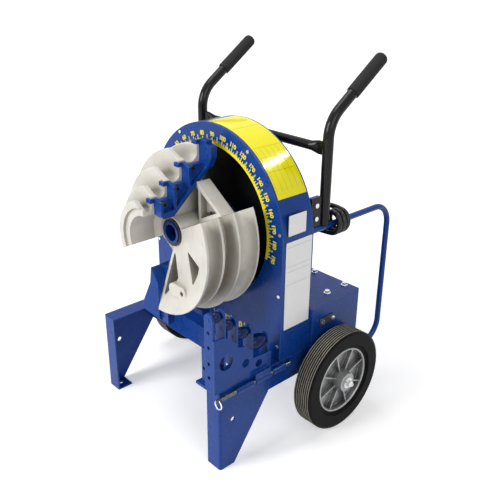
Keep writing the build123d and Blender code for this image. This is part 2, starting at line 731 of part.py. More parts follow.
bar_plane = Plane.YZ.offset(seat_gap)
with BuildPart() as hook_bar:
    with BuildSketch(bar_plane):
        with BuildLine():
            outline = [rail[0], (hook_at[0], rail[0][1] + rail_back[0])]
            for index in range(4):
                last = hook_at[index + 1] if index < 3 else bar_back
                top = min(hook_top[index], step_level[index])
                outline.append((hook_at[index], top))
                outline.append((last, top))
            outline += [rail[3], rail[2], rail[1]]
            Polyline(*[(dial_y - ahead, shaft_z + up) for ahead, up in outline], close=True)
        make_face()
    extrude(amount=bar_t - seat_gap)
    for index in range(3):
        front = hook_at[index] - hook_step
        back = hook_at[index + 1]
        high = shaft_z + hook_top[3]
        with BuildSketch(Plane.YZ.offset(pocket_x)):
            with BuildLine():
                low_front = (dial_y - front, shaft_z + rail_top(front))
                low_back = (dial_y - back, shaft_z + rail_top(back))
                Polyline(low_front, low_back, (dial_y - back, high), (dial_y - front, high), close=True)
            make_face()
        extrude(amount=bar_pocket + 1, mode=Mode.SUBTRACT)
    for index in range(4):
        y0 = dial_y - small_at[index] + small_od[index] / 2 - hook_over
        y1 = dial_y - small_at[index] + small_od[index] / 2
        z0 = shaft_z + hook_top[index] - hook_cover
        z1 = shaft_z + hook_top[index]
        slab((-hook_reach, hook_tab), (y0, y1), (z0, z1))
        slab((seat_gap, hook_tab), (y0, hook_front[index] + hook_step), (z0, z1))
        with BuildSketch(Plane((0, hook_front[index] + hook_step, 0), x_dir=(1, 0, 0), z_dir=(0, -1, 0))):
            with BuildLine():
                low = z1 - 3 * hook_cover
                Polyline(
                    (seat_gap, low), (seat_gap, z1), (hook_tab, z1), (bar_t, z1 - hook_slope), (bar_t, low),
                    close=True,
                )
            make_face()
        extrude(amount=hook_step)
    with BuildSketch(Plane((0, dial_y - bar_back, shaft_z), x_dir=(1, 0, 0), z_dir=(0, -1, 0))):
        with BuildLine():
            low = small_clr[3] - last_finger_low
            Polyline(
                (bar_t - 1, low), (last_finger_w - last_finger_cut[0], low),
                (last_finger_w, low + last_finger_cut[1]), (last_finger_w, small_clr[3] + last_finger_top),
                (bar_t - 1, hook_top[3] - hook_slope), close=True,
            )
        make_face()
    extrude(amount=hook_at[3] - bar_back)
    for ahead, up in bar_screws:
        rod(hook_screw_r + run_gap, (-1, dial_y - ahead, shaft_z + up), bar_t + 2, (1, 0, 0), Mode.SUBTRACT)
save(hook_bar, "hook_bar")

with BuildPart() as hook_screws:
    for ahead, up in bar_screws:
        rod(hook_screw_r, (pocket_x + 1, dial_y - ahead, shaft_z + up), pocket_x + 29, (-1, 0, 0))
        rod(1.6 * hook_screw_r, (pocket_x, dial_y - ahead, shaft_z + up), 2 * hook_screw_r, (1, 0, 0))
        rod(0.8 * hook_screw_r, (pocket_x + 11, dial_y - ahead, shaft_z + up), 6, (-1, 0, 0), Mode.SUBTRACT)
save(hook_screws, "hook_screws")

# Large hook on the lower casting: a faceted block with cheek and jaw at the front groove,
# and an arm inside the pipes to a second jaw at the back groove
jaw_a = large_clr[0] + large_od[0] / 2 + big_hook_play
jaw_b = large_clr[1] + large_od[1] / 2 + big_hook_play
clear_a = large_clr[0] - large_od[0] / 2 - big_hook_play
clear_b = large_clr[1] - large_od[1] / 2 - big_hook_play
edge_a = dial_y - large_at[0] - large_od[0] / 2 - big_hook_play
edge_b = dial_y - large_at[1] + large_od[1] / 2 + big_hook_play
cheek_in = edge_a - big_cheek_t[0]
cheek_out = edge_a - big_cheek_t[1]
block_back = dial_y - large_at[0] + large_od[0] / 2
jaw_low = jaw_a + big_hook_jaw
jaw_t = 16.0
back_jaw_end = dial_y - 12
with BuildPart() as hook_block:
    with BuildSketch(Plane.YZ.offset(-big_hook_w)):
        with BuildLine():
            Polyline(
                (cheek_out, shaft_z - big_hook_top),
                (cheek_out, shaft_z - jaw_a - 8),
                (cheek_out + 22, shaft_z - jaw_low),
                (dial_y - large_at[0], shaft_z - jaw_low),
                (dial_y - large_at[0], shaft_z - jaw_a),
                (edge_a, shaft_z - jaw_a),
                (edge_a, shaft_z - clear_a),
                (block_back, shaft_z - clear_a),
                (block_back, shaft_z - big_hook_top),
                close=True,
            )
        make_face()
    extrude(amount=big_hook_w - seat_gap)
    with BuildSketch(Plane((0, cheek_out, shaft_z), x_dir=(1, 0, 0), z_dir=(0, -1, 0))):
        with BuildLine():
            Polyline(
                (-24, -big_hook_top),
                (-seat_gap, -big_hook_top - 46),
                (-seat_gap, -jaw_low),
                (-44, -jaw_low),
                (-big_hook_w, -jaw_a - 14),
                (-big_hook_w + 2, -jaw_a + 8),
                (-30, -big_hook_top - 50),
                close=True,
            )
        make_face()
    extrude(amount=-(block_back - cheek_out), mode=Mode.INTERSECT)
    with BuildSketch(Plane.XY.offset(shaft_z - jaw_low - 1)):
        with BuildLine():
            ahead = cheek_out - 1
            Polyline((-big_hook_w, cheek_out), (1, cheek_in), (1, ahead), (-big_hook_w, ahead), close=True)
        make_face()
    extrude(amount=jaw_low, mode=Mode.SUBTRACT)
with BuildPart() as large_hook:
    with BuildSketch(Plane.YZ.offset(-big_hook_t)):
        with BuildLine():
            mid_y = dial_y - (large_gap[0] + large_gap[1]) / 2
            Polyline(
                (block_back - 20, shaft_z - big_hook_top - 4),
                (back_jaw_end - 40, shaft_z - big_hook_top),
                (back_jaw_end, shaft_z - big_hook_top - 45),
                (back_jaw_end, shaft_z - jaw_b - jaw_t),
                (dial_y - large_at[1], shaft_z - jaw_b - jaw_t),
                (dial_y - large_at[1], shaft_z - jaw_b),
                (edge_b, shaft_z - jaw_b),
                (edge_b, shaft_z - clear_b),
                (mid_y, shaft_z - clear_b),
                (mid_y, shaft_z - clear_a),
                (block_back - 20, shaft_z - clear_a),
                close=True,
            )
        make_face()
    extrude(amount=big_hook_t - seat_gap)
    add(hook_block.part)
    front_jaw = (cheek_out + 22, dial_y - large_at[0])
    back_jaw = (dial_y - large_at[1], edge_b)
    slab((-1, big_hook_reach), front_jaw, (shaft_z - jaw_low, shaft_z - jaw_a))
    slab((-1, big_hook_reach), back_jaw, (shaft_z - jaw_b - jaw_t, shaft_z - jaw_b))
    for ahead, down in big_hook_spots:
        start = (-big_hook_t - 1, dial_y - ahead, shaft_z - down)
        rod(hook_screw_r + run_gap, start, big_hook_t + 2, (1, 0, 0), Mode.SUBTRACT)
save(large_hook, "large_hook")

with BuildPart() as large_hook_bolts:
    for ahead, down in big_hook_spots:
        rod(hook_screw_r, (-big_hook_t - 1, dial_y - ahead, shaft_z - down), big_hook_t + 29, (1, 0, 0))
        hexagon(big_head_w, (-big_hook_t, dial_y - ahead, shaft_z - down), big_head_t, (-1, 0, 0))
save(large_hook_bolts, "large_hook_bolts")

# Roller support: base, stepped side plate, dividers and the moving hinge knuckle
base_z0 = leg_top_z + seat_gap
base_z1 = base_z0 + base_t
side_outline = (
    (divider_at[0] + 4, 443), (divider_at[1] + 4, 441), (divider_at[2] + 5, 403), (divider_at[2], 389),
    (divider_at[3] + 32, 383), (divider_at[3] + 4, 356), (divider_at[3] + 1, 331), (divider_at[4] - 4, 326),
)
support_y = (dial_y - divider_at[0] - 4, dial_y - divider_at[4] + 4)
side_x = (bracket_out - side_t, bracket_out)
moving_knuckle = (dial_y - moving_span[0], dial_y - moving_span[1])
fixed_knuckles = tuple((dial_y - front, dial_y - back) for front, back in knuckle_spans)
front_plate_y = (dial_y - divider_at[0] + 6, dial_y - divider_at[0] + 12)
with BuildPart() as roller_bracket:
    slab((bracket_in, bracket_out), support_y, (base_z0, base_z1))
    with BuildSketch(Plane.YZ.offset(side_x[0])):
        with BuildLine():
            outline = [(dial_y - ahead, z) for ahead, z in side_outline]
            Polyline((support_y[0], base_z0), *outline, (support_y[1], base_z0), close=True)
        make_face()
    extrude(amount=side_t)
    for index, at in enumerate(divider_at):
        y0 = dial_y - at - divider_t / 2
        top_z = roller_z[max(index - 1, 0)]
        slab((axle_x - divider_w / 2, side_x[0]), (y0, y0 + divider_t), (base_z0, top_z))
        rod(divider_w / 2, (axle_x, y0, top_z), divider_t, (0, 1, 0))
    slab((bracket_in + 16, side_x[0]), front_plate_y, (base_z0, front_plate_top))
    for inset, z, radius in front_holes:
        rod(radius, (axle_x - inset, front_plate_y[0] - 1, z), 8, (0, 1, 0), Mode.SUBTRACT)
    for z in (*roller_z[1:], roller_z[3] - 44):
        rod(axle_r + 1, (axle_x, support_y[0] - 1, z), 11, (0, 1, 0), Mode.SUBTRACT)
    for ahead, z, radius in side_holes:
        rod(radius, (side_x[0] - 1, dial_y - ahead, z), side_t + 2, (1, 0, 0), Mode.SUBTRACT)
    slab((side_x[0], hinge_x + 4), moving_knuckle, (base_z0, base_z1))
    slab((tower_r + seat_gap, hinge_x + 4), moving_knuckle, (hinge_z, base_z1))
    knuckle_length = moving_knuckle[1] - moving_knuckle[0]
    knuckle_start = (hinge_x, moving_knuckle[0] - 1, hinge_z)
    rod(knuckle_r, (hinge_x, moving_knuckle[0], hinge_z), knuckle_length, (0, 1, 0))
    rod(hinge_pin_r + run_gap, knuckle_start, knuckle_length + 2, (0, 1, 0), Mode.SUBTRACT)
    for index, z in enumerate(roller_z):
        y0 = dial_y - divider_at[index] - divider_t
        span = divider_at[index] - divider_at[index + 1] + 2 * divider_t
        rod(axle_r + run_gap, (axle_x, y0, z), span, (0, 1, 0), Mode.SUBTRACT)
save(roller_bracket, "roller_bracket")

with BuildPart() as roller_axles:
    for index, z in enumerate(roller_z):
        y0 = dial_y - divider_at[index] - divider_t / 2
        y1 = dial_y - divider_at[index + 1] + divider_t / 2
        rod(axle_r, (axle_x, y0 - 1, z), y1 - y0 + 2, (0, 1, 0))
save(roller_axles, "roller_axles")


# Barrel-shaped rollers
def build_roller(index):
    y0 = dial_y - divider_at[index] + divider_t / 2 + seat_gap
    y1 = dial_y - divider_at[index + 1] - divider_t / 2 - seat_gap
    mid = (y0 + y1) / 2
    z = roller_z[index]
    radius = roller_r[index]
    inner = axle_r + run_gap
    shoulder = z + radius - roller_shoulder
    with BuildPart() as roller:
        with BuildSketch(Plane.YZ.offset(axle_x)):
            with BuildLine():
                Polyline((y0, shoulder), (y0, z + inner), (y1, z + inner), (y1, shoulder))
                ThreePointArc((y0, shoulder), (mid, z + radius), (y1, shoulder))
            make_face()
        revolve(axis=Axis((axle_x, 0, z), (0, 1, 0)))
    save(roller, f"roller_{index + 1}")


for index in range(4):
    build_roller(index)

with BuildPart() as hinge_knuckles:
    for y0, y1 in fixed_knuckles:
        rod(knuckle_r, (hinge_x, y0, hinge_z), y1 - y0, (0, 1, 0))
        slab((tower_r, hinge_x), (y0, y1), (hinge_z - 6, hinge_z + 4))
    for y0, y1 in fixed_knuckles:
        rod(hinge_pin_r + run_gap, (hinge_x, y0 - 1, hinge_z), y1 - y0 + 2, (0, 1, 0), Mode.SUBTRACT)
save(hinge_knuckles, "hinge_knuckles")

pin_y0 = dial_y - pin_front
with BuildPart() as hinge_pin:
    rod(hinge_pin_r, (hinge_x, pin_y0, hinge_z), pin_front + pin_back, (0, 1, 0))
    chamfer(hinge_pin.edges().sort_by(Axis.Y)[-1], 2)
    for side in (-1, 1):
        x0 = hinge_x + side * tang_t / 2
        slab((x0, x0 + side * 8), (pin_y0 - 1, pin_y0 + 16), (hinge_z - 9, hinge_z + 9), Mode.SUBTRACT)
    rod(ring_wire_r + 0.9, (hinge_x - 9, pin_y0 + 8, hinge_z), 18, (1, 0, 0), Mode.SUBTRACT)
save(hinge_pin, "hinge_pin")

with BuildPart() as pin_ring:
    with Locations(Location((hinge_x, pin_y0 + 8, hinge_z - ring_r), (90, 0, 0))):
        Torus(ring_r, ring_wire_r)
save(pin_ring, "pin_ring")

# Drive housing behind the tower, open below and in front, with a bolted lid
housing_y = (tower_back + seat_gap, tray_back)
lid_z = housing_top - sheet
inside_x = housing_x - sheet
window_x = housing_x - housing_flange
window_y = (housing_y[0] - 1, housing_y[1] - bolt_inset[1] - 16)
corner_bolt = (housing_x - bolt_inset[0], housing_back - bolt_inset[1])
top_bolts = ((mid_bolt_x, corner_bolt[1]), corner_bolt, (corner_bolt[0], front_bolt_at))
side_bolt_y = (side_plate_y[0] + side_bolt_inset, side_plate_y[1] - side_bolt_inset)
side_bolt_z = sum(side_plate_z) / 2
with BuildPart() as drive_housing:
    slab((-housing_x, housing_x), housing_y, (tray_floor, lid_z))
    inside_y = (housing_y[0] - 1, housing_y[1] - sheet)
    slab((-inside_x, inside_x), inside_y, (tray_floor - 1, lid_z - sheet), Mode.SUBTRACT)
    slab((-window_x, window_x), window_y, (lid_z - 9, lid_z + 1), Mode.SUBTRACT)
    for side in (-1, 1):
        return_x = sorted((side * wall_in, side * housing_x))
        slab(return_x, (housing_y[0], housing_y[0] + sheet), (tray_floor, lid_z))
    for x, back in top_bolts:
        for side in (-1, 1):
            rod(bolt_r + 0.2, (side * x, dial_y + back, lid_z - 9), 12, (0, 0, 1), Mode.SUBTRACT)
    for y in side_bolt_y:
        start = (-housing_x - 1, dial_y + y, side_bolt_z)
        rod(bolt_r + 0.2, start, 2 * housing_x + 2, (1, 0, 0), Mode.SUBTRACT)
    rod(inlet_r + 0.5, (inlet_x, housing_y[1] - 9, inlet_z), 12, (0, 1, 0), Mode.SUBTRACT)
save(drive_housing, "drive_housing")

with BuildPart() as housing_lid:
    slab((-housing_x, housing_x), housing_y, (lid_z, housing_top))
    for x, back in top_bolts:
        for side in (-1, 1):
            rod(bolt_r + 0.2, (side * x, dial_y + back, lid_z - 1), sheet + 2, (0, 0, 1), Mode.SUBTRACT)
save(housing_lid, "housing_lid")

with BuildPart() as side_plates:
    for side in (-1, 1):
        x = sorted((side * housing_x, side * (housing_x + 4)))
        slab(x, (dial_y + side_plate_y[0], dial_y + side_plate_y[1]), side_plate_z)
    for y in side_bolt_y:
        start = (-housing_x - 9, dial_y + y, side_bolt_z)
        rod(bolt_r + 0.2, start, 2 * housing_x + 18, (1, 0, 0), Mode.SUBTRACT)
save(side_plates, "side_plates")

# Hex bolts of the lid and of the side plates
with BuildPart() as housing_bolts:
    for side in (-1, 1):
        for x, back in top_bolts:
            rod(washer_r, (side * x, dial_y + back, housing_top), washer_t, (0, 0, 1))
            hexagon(3.2 * bolt_r, (side * x, dial_y + back, housing_top + washer_t - 0.1), 7, (0, 0, 1))
            rod(bolt_r, (side * x, dial_y + back, housing_top + 1), 14, (0, 0, -1))
        for y in side_bolt_y:
            hexagon(3.2 * bolt_r, (side * (housing_x + 4), dial_y + y, side_bolt_z), 6, (side, 0, 0))
            rod(bolt_r, (side * (housing_x + 5), dial_y + y, side_bolt_z), 14, (-side, 0, 0))
save(housing_bolts, "housing_bolts")

# Power inlet in the back of the housing, no cord on it
with BuildPart() as power_inlet:
    rod(inlet_r + 7.5, (inlet_x, tray_back, inlet_z), 6, (0, 1, 0))
    rod(inlet_r, (inlet_x, tray_back + 1, inlet_z), 40, (0, -1, 0))
    rod(inlet_r - 5.5, (inlet_x, tray_back + 7, inlet_z), 30, (0, -1, 0), Mode.SUBTRACT)
    for turn in (90, 210, 330):
        x = inlet_x + 12 * cos(radians(turn))
        z = inlet_z + 12 * sin(radians(turn))
        rod(2.5, (x, tray_back - 25, z), 22, (0, 1, 0))
save(power_inlet, "power_inlet")

# Gearbox, motor and control box inside the housing
box_y = (tower_back + 8, tower_back + 108)
with BuildPart() as gearbox:
    slab((-gearbox_half, gearbox_half), box_y, (pinion_z - gearbox_down, pinion_z + gearbox_up))
    slab((-gearbox_half - 12, gearbox_half + 12), box_y, (tray_floor, tray_floor + 10))
    slab((-gearbox_half + 18, gearbox_half - 18), box_y, (tray_floor, pinion_z - gearbox_down + 1))
    rod(pinion_shaft_r + run_gap, (0, box_y[0] - 1, pinion_z), 24, (0, 1, 0), Mode.SUBTRACT)
save(gearbox, "gearbox")

motor_y = tower_back + motor_back
motor_x1 = housing_x - motor_clear - fan_t
foot_x = (gearbox_half + 22, motor_x1 - 20)
stem_x = (foot_x[0] + 6, foot_x[1] - 6)
with BuildPart() as motor:
    rod(motor_r, (gearbox_half, motor_y, motor_z), motor_x1 - gearbox_half, (1, 0, 0))
    rod(motor_r - 8, (motor_x1, motor_y, motor_z), fan_t, (1, 0, 0))
    slab(foot_x, (motor_y - 45, motor_y + 45), (tray_floor, tray_floor + 8))
    slab(stem_x, (motor_y - 30, motor_y + 30), (tray_floor, motor_z - motor_r + 22))
save(motor, "motor")

control_x = -housing_x + control_inset
control_y = tower_back + 30
with BuildPart() as control_box:
    across = (control_x, control_x + control_size[0])
    slab(across, (control_y, control_y + control_size[1]), (tray_floor, tray_floor + control_size[2]))
save(control_box, "control_box")

# Axle under the tray, its brackets, end washers and split pins
split_pin_dir = (0, -cos(radians(split_pin_tilt)), sin(radians(split_pin_tilt)))


def split_pin_start(side):
    y = wheel_y - split_pin_half * split_pin_dir[1]
    z = wheel_z - split_pin_half * split_pin_dir[2]
    return (side * (axle_end - split_pin_inset), y, z)


with BuildPart() as axle:
    rod(wheel_axle_r, (-axle_end, wheel_y, wheel_z), 2 * axle_end, (1, 0, 0))
    for side in (-1, 1):
        rod(split_pin_r + run_gap, split_pin_start(side), 2 * split_pin_half, split_pin_dir, Mode.SUBTRACT)
save(axle, "axle")

with BuildPart() as split_pins:
    for side in (-1, 1):
        start = split_pin_start(side)
        rod(split_pin_r, start, 2 * split_pin_half, split_pin_dir)
        out, hole, thick = split_pin_eye
        eye_y = start[1] - (out - 1) * split_pin_dir[1]
        eye_z = start[2] - (out - 1) * split_pin_dir[2]
        rod(out, (start[0] - thick / 2, eye_y, eye_z), thick, (1, 0, 0))
        rod(hole, (start[0] - thick, eye_y, eye_z), 2 * thick, (1, 0, 0), Mode.SUBTRACT)
save(split_pins, "split_pins")

bracket_end = tower_r - axle_bracket_inset
with BuildPart() as axle_brackets:
    for side in (-1, 1):
        x = sorted((side * (bracket_end - axle_bracket_t), side * bracket_end))
        slab(x, (wheel_y - 30, wheel_y + 30), (wheel_z - 18, tray_z))
    rod(wheel_axle_r + run_gap, (-axle_end, wheel_y, wheel_z), 2 * axle_end, (1, 0, 0), Mode.SUBTRACT)
save(axle_brackets, "axle_brackets")

with BuildPart() as axle_collars:
    for side in (-1, 1):
        spacer = tyre_in + rim_set - bracket_end - seat_gap
        rod(wheel_axle_r + 6, (side * bracket_end, wheel_y, wheel_z), spacer, (side, 0, 0))
        rod(wheel_axle_r + 8, (side * (hub_end + seat_gap), wheel_y, wheel_z), axle_washer_t, (side, 0, 0))
    rod(wheel_axle_r + run_gap, (-axle_end, wheel_y, wheel_z), 2 * axle_end, (1, 0, 0), Mode.SUBTRACT)
save(axle_collars, "axle_collars")


# Wheel: flat-treaded tyre with ribs round it, and a dished rim with deep fins
def build_wheel(name, side):
    plane = Plane((0, wheel_y, wheel_z), x_dir=(side, 0, 0), z_dir=(0, -side, 0))
    spin = Axis((0, wheel_y, wheel_z), (1, 0, 0))
    x0 = tyre_in + rim_set
    x1 = tyre_out - rim_set
    web = (tyre_in + tyre_out) / 2 - 4
    floor = web + rim_web_t
    rib_pitch = (tyre_w - 2 * shoulder + tread_groove_w) / tread_ribs
    with BuildPart() as tyre:
        with BuildSketch(plane):
            with BuildLine():
                low = rim_r + run_gap
                step = rim_r + 2 * shoulder
                wall = (step + shoulder, wheel_r - 2 * shoulder)
                outline = [(x0, low), (x0, step), (tyre_in, wall[0]), (tyre_in, wall[1])]
                outline.append((tyre_in + shoulder, wheel_r))
                for index in range(1, tread_ribs):
                    x = tyre_in + shoulder + index * rib_pitch - tread_groove_w
                    bottom = wheel_r - tread_groove_d
                    end = x + tread_groove_w
                    outline += [(x, wheel_r), (x + 0.5, bottom), (end - 0.5, bottom), (end, wheel_r)]
                outline.append((tyre_out - shoulder, wheel_r))
                outline += [(tyre_out, wall[1]), (tyre_out, wall[0]), (x1, step), (x1, low)]
                Polyline(*outline, close=True)
            make_face()
        revolve(axis=spin)
    save(tyre, f"{name}_tyre")
    with BuildPart() as rim:
        with BuildSketch(plane):
            with BuildLine():
                bore = wheel_axle_r + run_gap
                inner = rim_r - rim_t
                Polyline(
                    (x0, bore), (hub_end, bore), (hub_end, rim_hub_r), (floor, rim_hub_r + 6), (floor, inner),
                    (x1 - 2, inner), (x1 + 1, inner + 2), (x1 + 1, rim_r - 2), (x1 - 1, rim_r), (x0, rim_r),
                    (x0, inner), (web, inner), (web, rim_hub_r + 6), (x0, rim_hub_r), close=True,
                )
            make_face()
        revolve(axis=spin)
        fin_x = x1 - fin_drop - floor + 2
        fin_length = rim_r - rim_hub_r - rim_t + 4
        for index in range(fin_count):
            turn = fin_turn + 360 / fin_count * index
            with Locations(Location((0, wheel_y, wheel_z), (turn, 0, 0))):
                with Locations((side * (floor - 2 + fin_x / 2), 0, rim_hub_r - 1 + fin_length / 2)):
                    Box(fin_x, fin_t, fin_length)
    save(rim, f"{name}_rim")


build_wheel("left", -1)
build_wheel("right", 1)

# Push handles, bent tube with a slip-on grip
rise = atan2(handle_tip[1] - handle_knee, handle_tip[0] - handle_at)
tip_dir = (0, cos(rise), sin(rise))


def handle_tube(side):
    x = side * handle_x
    foot = (x, dial_y + handle_at, handle_low)
    knee = (x, dial_y + handle_at, handle_knee)
    tip = (x, dial_y + handle_tip[0], handle_tip[1])
    with BuildPart() as tube:
        with BuildLine():
            FilletPolyline(foot, knee, tip, radius=handle_bend)
        with BuildSketch(Plane(foot, z_dir=(0, 0, 1))):
            Circle(tube_r)
            Circle(tube_r - tube_wall, mode=Mode.SUBTRACT)
        sweep()
    return tube.part


def handle_grip(side):
    tip = (side * handle_x, dial_y + handle_tip[0], handle_tip[1])
    start = tuple(t - grip_length * d for t, d in zip(tip, tip_dir))
    with BuildPart() as grip:
        rod(grip_r, start, grip_length + 6, tip_dir)
        fillet(grip.edges().sort_by(Axis.Y)[-1], grip_r * 0.7)
        fillet(grip.edges().sort_by(Axis.Y)[0], 2)
        rod(tube_r + run_gap, start, grip_length + run_gap, tip_dir, Mode.SUBTRACT)
        rod(tube_r + run_gap, start, 10, tuple(-d for d in tip_dir), Mode.SUBTRACT)
    return grip.part


with BuildPart() as handles:
    for side in (-1, 1):
        add(handle_tube(side))
save(handles, "handles")

with BuildPart() as grips:
    for side in (-1, 1):
        add(handle_grip(side))
save(grips, "grips")

# Cross tube, flattened where it meets the uprights
cross_half = handle_x - tube_r - 0.1
flat_length = 46.0
with BuildPart() as cross_tube:
    round_half = cross_half - flat_length
    rod(cross_r, (-round_half, dial_y + handle_at, cross_z), 2 * round_half, (1, 0, 0))
    for side in (-1, 1):
        end = (side * round_half, dial_y + handle_at, cross_z)
        start = Plane(end, x_dir=(0, 1, 0), z_dir=(side, 0, 0))
        with BuildSketch(start):
            Circle(cross_r)
        with BuildSketch(start.offset(flat_length * 0.6)):
            RectangleRounded(9, 40, 4)
        loft()
        with BuildSketch(start.offset(flat_length * 0.6)):
            RectangleRounded(9, 40, 4)
        extrude(amount=flat_length * 0.4)
save(cross_tube, "cross_tube")

# Brackets on the handles, bolted to the lugs of the back cover
with BuildPart() as handle_brackets:
    for side in (-1, 1):
        x = sorted(side * v for v in strap_x)
        slab(x, (tower_back + 6, dial_y + handle_at - tube_r - 0.1), bracket_z)
    for back, z in bracket_bolts:
        rod(5.2, (-tower_r, dial_y + back, z), 2 * tower_r, (1, 0, 0), Mode.SUBTRACT)
save(handle_brackets, "handle_brackets")

with BuildPart() as handle_bolts:
    for side in (-1, 1):
        for back, z in bracket_bolts:
            rod(7, (side * strap_x[1], dial_y + back, z), 5, (side, 0, 0))
            rod(5, (side * (strap_x[1] + 1), dial_y + back, z), 26, (-side, 0, 0))
            hexagon(15, (side * lug_x[0], dial_y + back, z), 7, (-side, 0, 0))
save(handle_bolts, "handle_bolts")


# Stand tubes behind, from the tower back over and down to the tray
def stand_tube(side):
    x = side * handle_x
    top = (x, tower_back + 0.2, stand_z)
    back = dial_y + stand_back
    with BuildPart() as stand:
        with BuildLine():
            corners = ((x, back, stand_z), (x, back, stand_low))
            FilletPolyline(top, *corners, (x, dial_y + stand_end, stand_low), radius=stand_bend)
        with BuildSketch(Plane(top, z_dir=(0, 1, 0))):
            Circle(stand_r)
            Circle(stand_r - tube_wall, mode=Mode.SUBTRACT)
        sweep()
    return stand.part


with BuildPart() as stand_tubes:
    for side in (-1, 1):
        add(stand_tube(side))
save(stand_tubes, "stand_tubes")

with BuildPart() as stand_brackets:
    for side in (-1, 1):
        x = sorted((side * (handle_x - 16), side * (handle_x + 16)))
        slab(x, (dial_y + stand_end - 8, tray_back), (stand_low - 16, tray_z))
        start = (side * handle_x, dial_y + stand_end - run_gap, stand_low)
        rod(stand_r + run_gap, start, stand_socket + 2, (0, 1, 0), Mode.SUBTRACT)
save(stand_brackets, "stand_brackets")

# Hand control in its holder on the tower back
pendant_y = (tower_back + pendant_gap, tower_back + pendant_gap + pendant_d)
pendant_span = (pendant_x - pendant_w / 2, pendant_x + pendant_w / 2)
button_z = (pendant_z[0] + 90, pendant_z[0] + 55)
with BuildPart() as pendant:
    slab(pendant_span, pendant_y, pendant_z)
    fillet(pendant.edges().filter_by(Axis.Z), 9)
    fillet(pendant.edges().group_by(Axis.Z)[-1], 5)
    fillet(pendant.edges().group_by(Axis.Z)[0], 5)
    for z in button_z:
        rod(button_r + seat_gap, (pendant_x, pendant_y[1] + 1, z), 15, (0, -1, 0), Mode.SUBTRACT)
save(pendant, "pendant")

with BuildPart() as holder:
    gap = 0.5
    z0 = pendant_z[0] - 4
    slab((pendant_span[0] - 4, pendant_span[1] + 4), (tower_back, pendant_y[0] - gap), (z0, z0 + 44))
    slab((pendant_span[0] - 4, pendant_span[1] + 4), (tower_back, pendant_y[1] + 4), (z0, z0 + 3.5))
    for x in (pendant_span[0] - 2.25, pendant_span[1] + 2.25):
        slab((x - 1.75, x + 1.75), (tower_back, pendant_y[1] + 4), (z0, z0 + 44))
    slab((pendant_span[0] - 4, pendant_span[1] + 4), (pendant_y[1] + gap, pendant_y[1] + 4), (z0, z0 + 30))
save(holder, "holder")


def build_button(name, z):
    with BuildPart() as button:
        rod(button_r, (pendant_x, pendant_y[1] + 5, z), 9, (0, -1, 0))
        fillet(button.edges().sort_by(Axis.Y)[-1], 1.5)
    save(button, name)


build_button("bend_button", button_z[0])
build_button("return_button", button_z[1])


# Control cable: out of its gland, two loose turns round the stand tube, down to the control
def biarc(p0, t0, p1, t1):
    v = p1 - p0
    t = t0 + t1
    a = t.dot(t) - 4
    b = -2 * v.dot(t)
    c = v.dot(v)
    reach = (-b - sqrt(b * b - 4 * a * c)) / (2 * a)
    joint = (p0 + t0 * reach + p1 - t1 * reach) * 0.5
    TangentArc(p0, joint, tangent=t0)
    mid_tangent = (p1 - t1 * reach - p0 - t0 * reach).normalized()
    TangentArc(joint, p1, tangent=mid_tangent)


def loop_point(turn):
    a = 2 * pi * turn
    x = handle_x + loop_r * sin(a)
    z = loop_z - loop_r * cos(a)
    return Vector(x, dial_y + loop_at + loop_pitch * turn, z)


def loop_tangent(turn):
    a = 2 * pi * turn
    rate = 2 * pi * loop_r
    return Vector(rate * cos(a), loop_pitch, rate * sin(a)).normalized()


gland_x = 150.0
gland_arc = 48.0
pendant_arcs = [110.0, 55.0]
gland_tip = Vector(gland_x, tower_back + 34, loop_z - loop_r)
last_turn = loop_turns + 0.5
first = loop_point(0)
last = loop_point(last_turn)
enter = loop_tangent(0)
gland_turn = first - enter * ((first.X - gland_x) / enter.X)
lead_out = last + loop_tangent(last_turn) * 60
pendant_top = Vector(pendant_x, (pendant_y[0] + pendant_y[1]) / 2, pendant_z[1])
over_z = lead_out.Z
with BuildPart() as control_cable:
    with BuildLine() as cable_path:
        FilletPolyline(gland_tip - Vector(0, 24, 0), gland_turn, first, radius=gland_arc)
        for quarter in range(int(4 * last_turn)):
            a = quarter / 4
            b = a + 0.25
            biarc(loop_point(a), loop_tangent(a), loop_point(b), loop_tangent(b))
        over_pendant = Vector(pendant_x, pendant_top.Y, over_z)
        FilletPolyline(last, lead_out, over_pendant, pendant_top, radius=pendant_arcs)
    with BuildSketch(Plane(gland_tip - Vector(0, 24, 0), z_dir=(0, 1, 0))):
        Circle(cable_r)
    sweep()
save(control_cable, "control_cable")

with BuildPart() as cable_gland:
    hexagon(30, (gland_x, tower_back, gland_tip.Z), 10, (0, 1, 0))
    rod(13, (gland_x, tower_back + 9, gland_tip.Z), 15, (0, 1, 0))
    rod(cable_r + run_gap, (gland_x, tower_back - 1, gland_tip.Z), 40, (0, 1, 0), Mode.SUBTRACT)
save(cable_gland, "cable_gland")

samples = [cable_path.wires()[0].position_at(i / 900) for i in range(901)]
reach = cable_path.wires()[0].length / 900
apart = int(4 * cable_r / reach)
least = min(
    (samples[i] - samples[j]).length for i in range(901) for j in range(i + apart, 901)
)
print("least gap of the cable to itself", round(least - 2 * cable_r, 2))
print("arcs of the cable", gland_arc, loop_r, *pendant_arcs)
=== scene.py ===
import json
import math

import bmesh
import bpy
from mathutils import Matrix, Vector


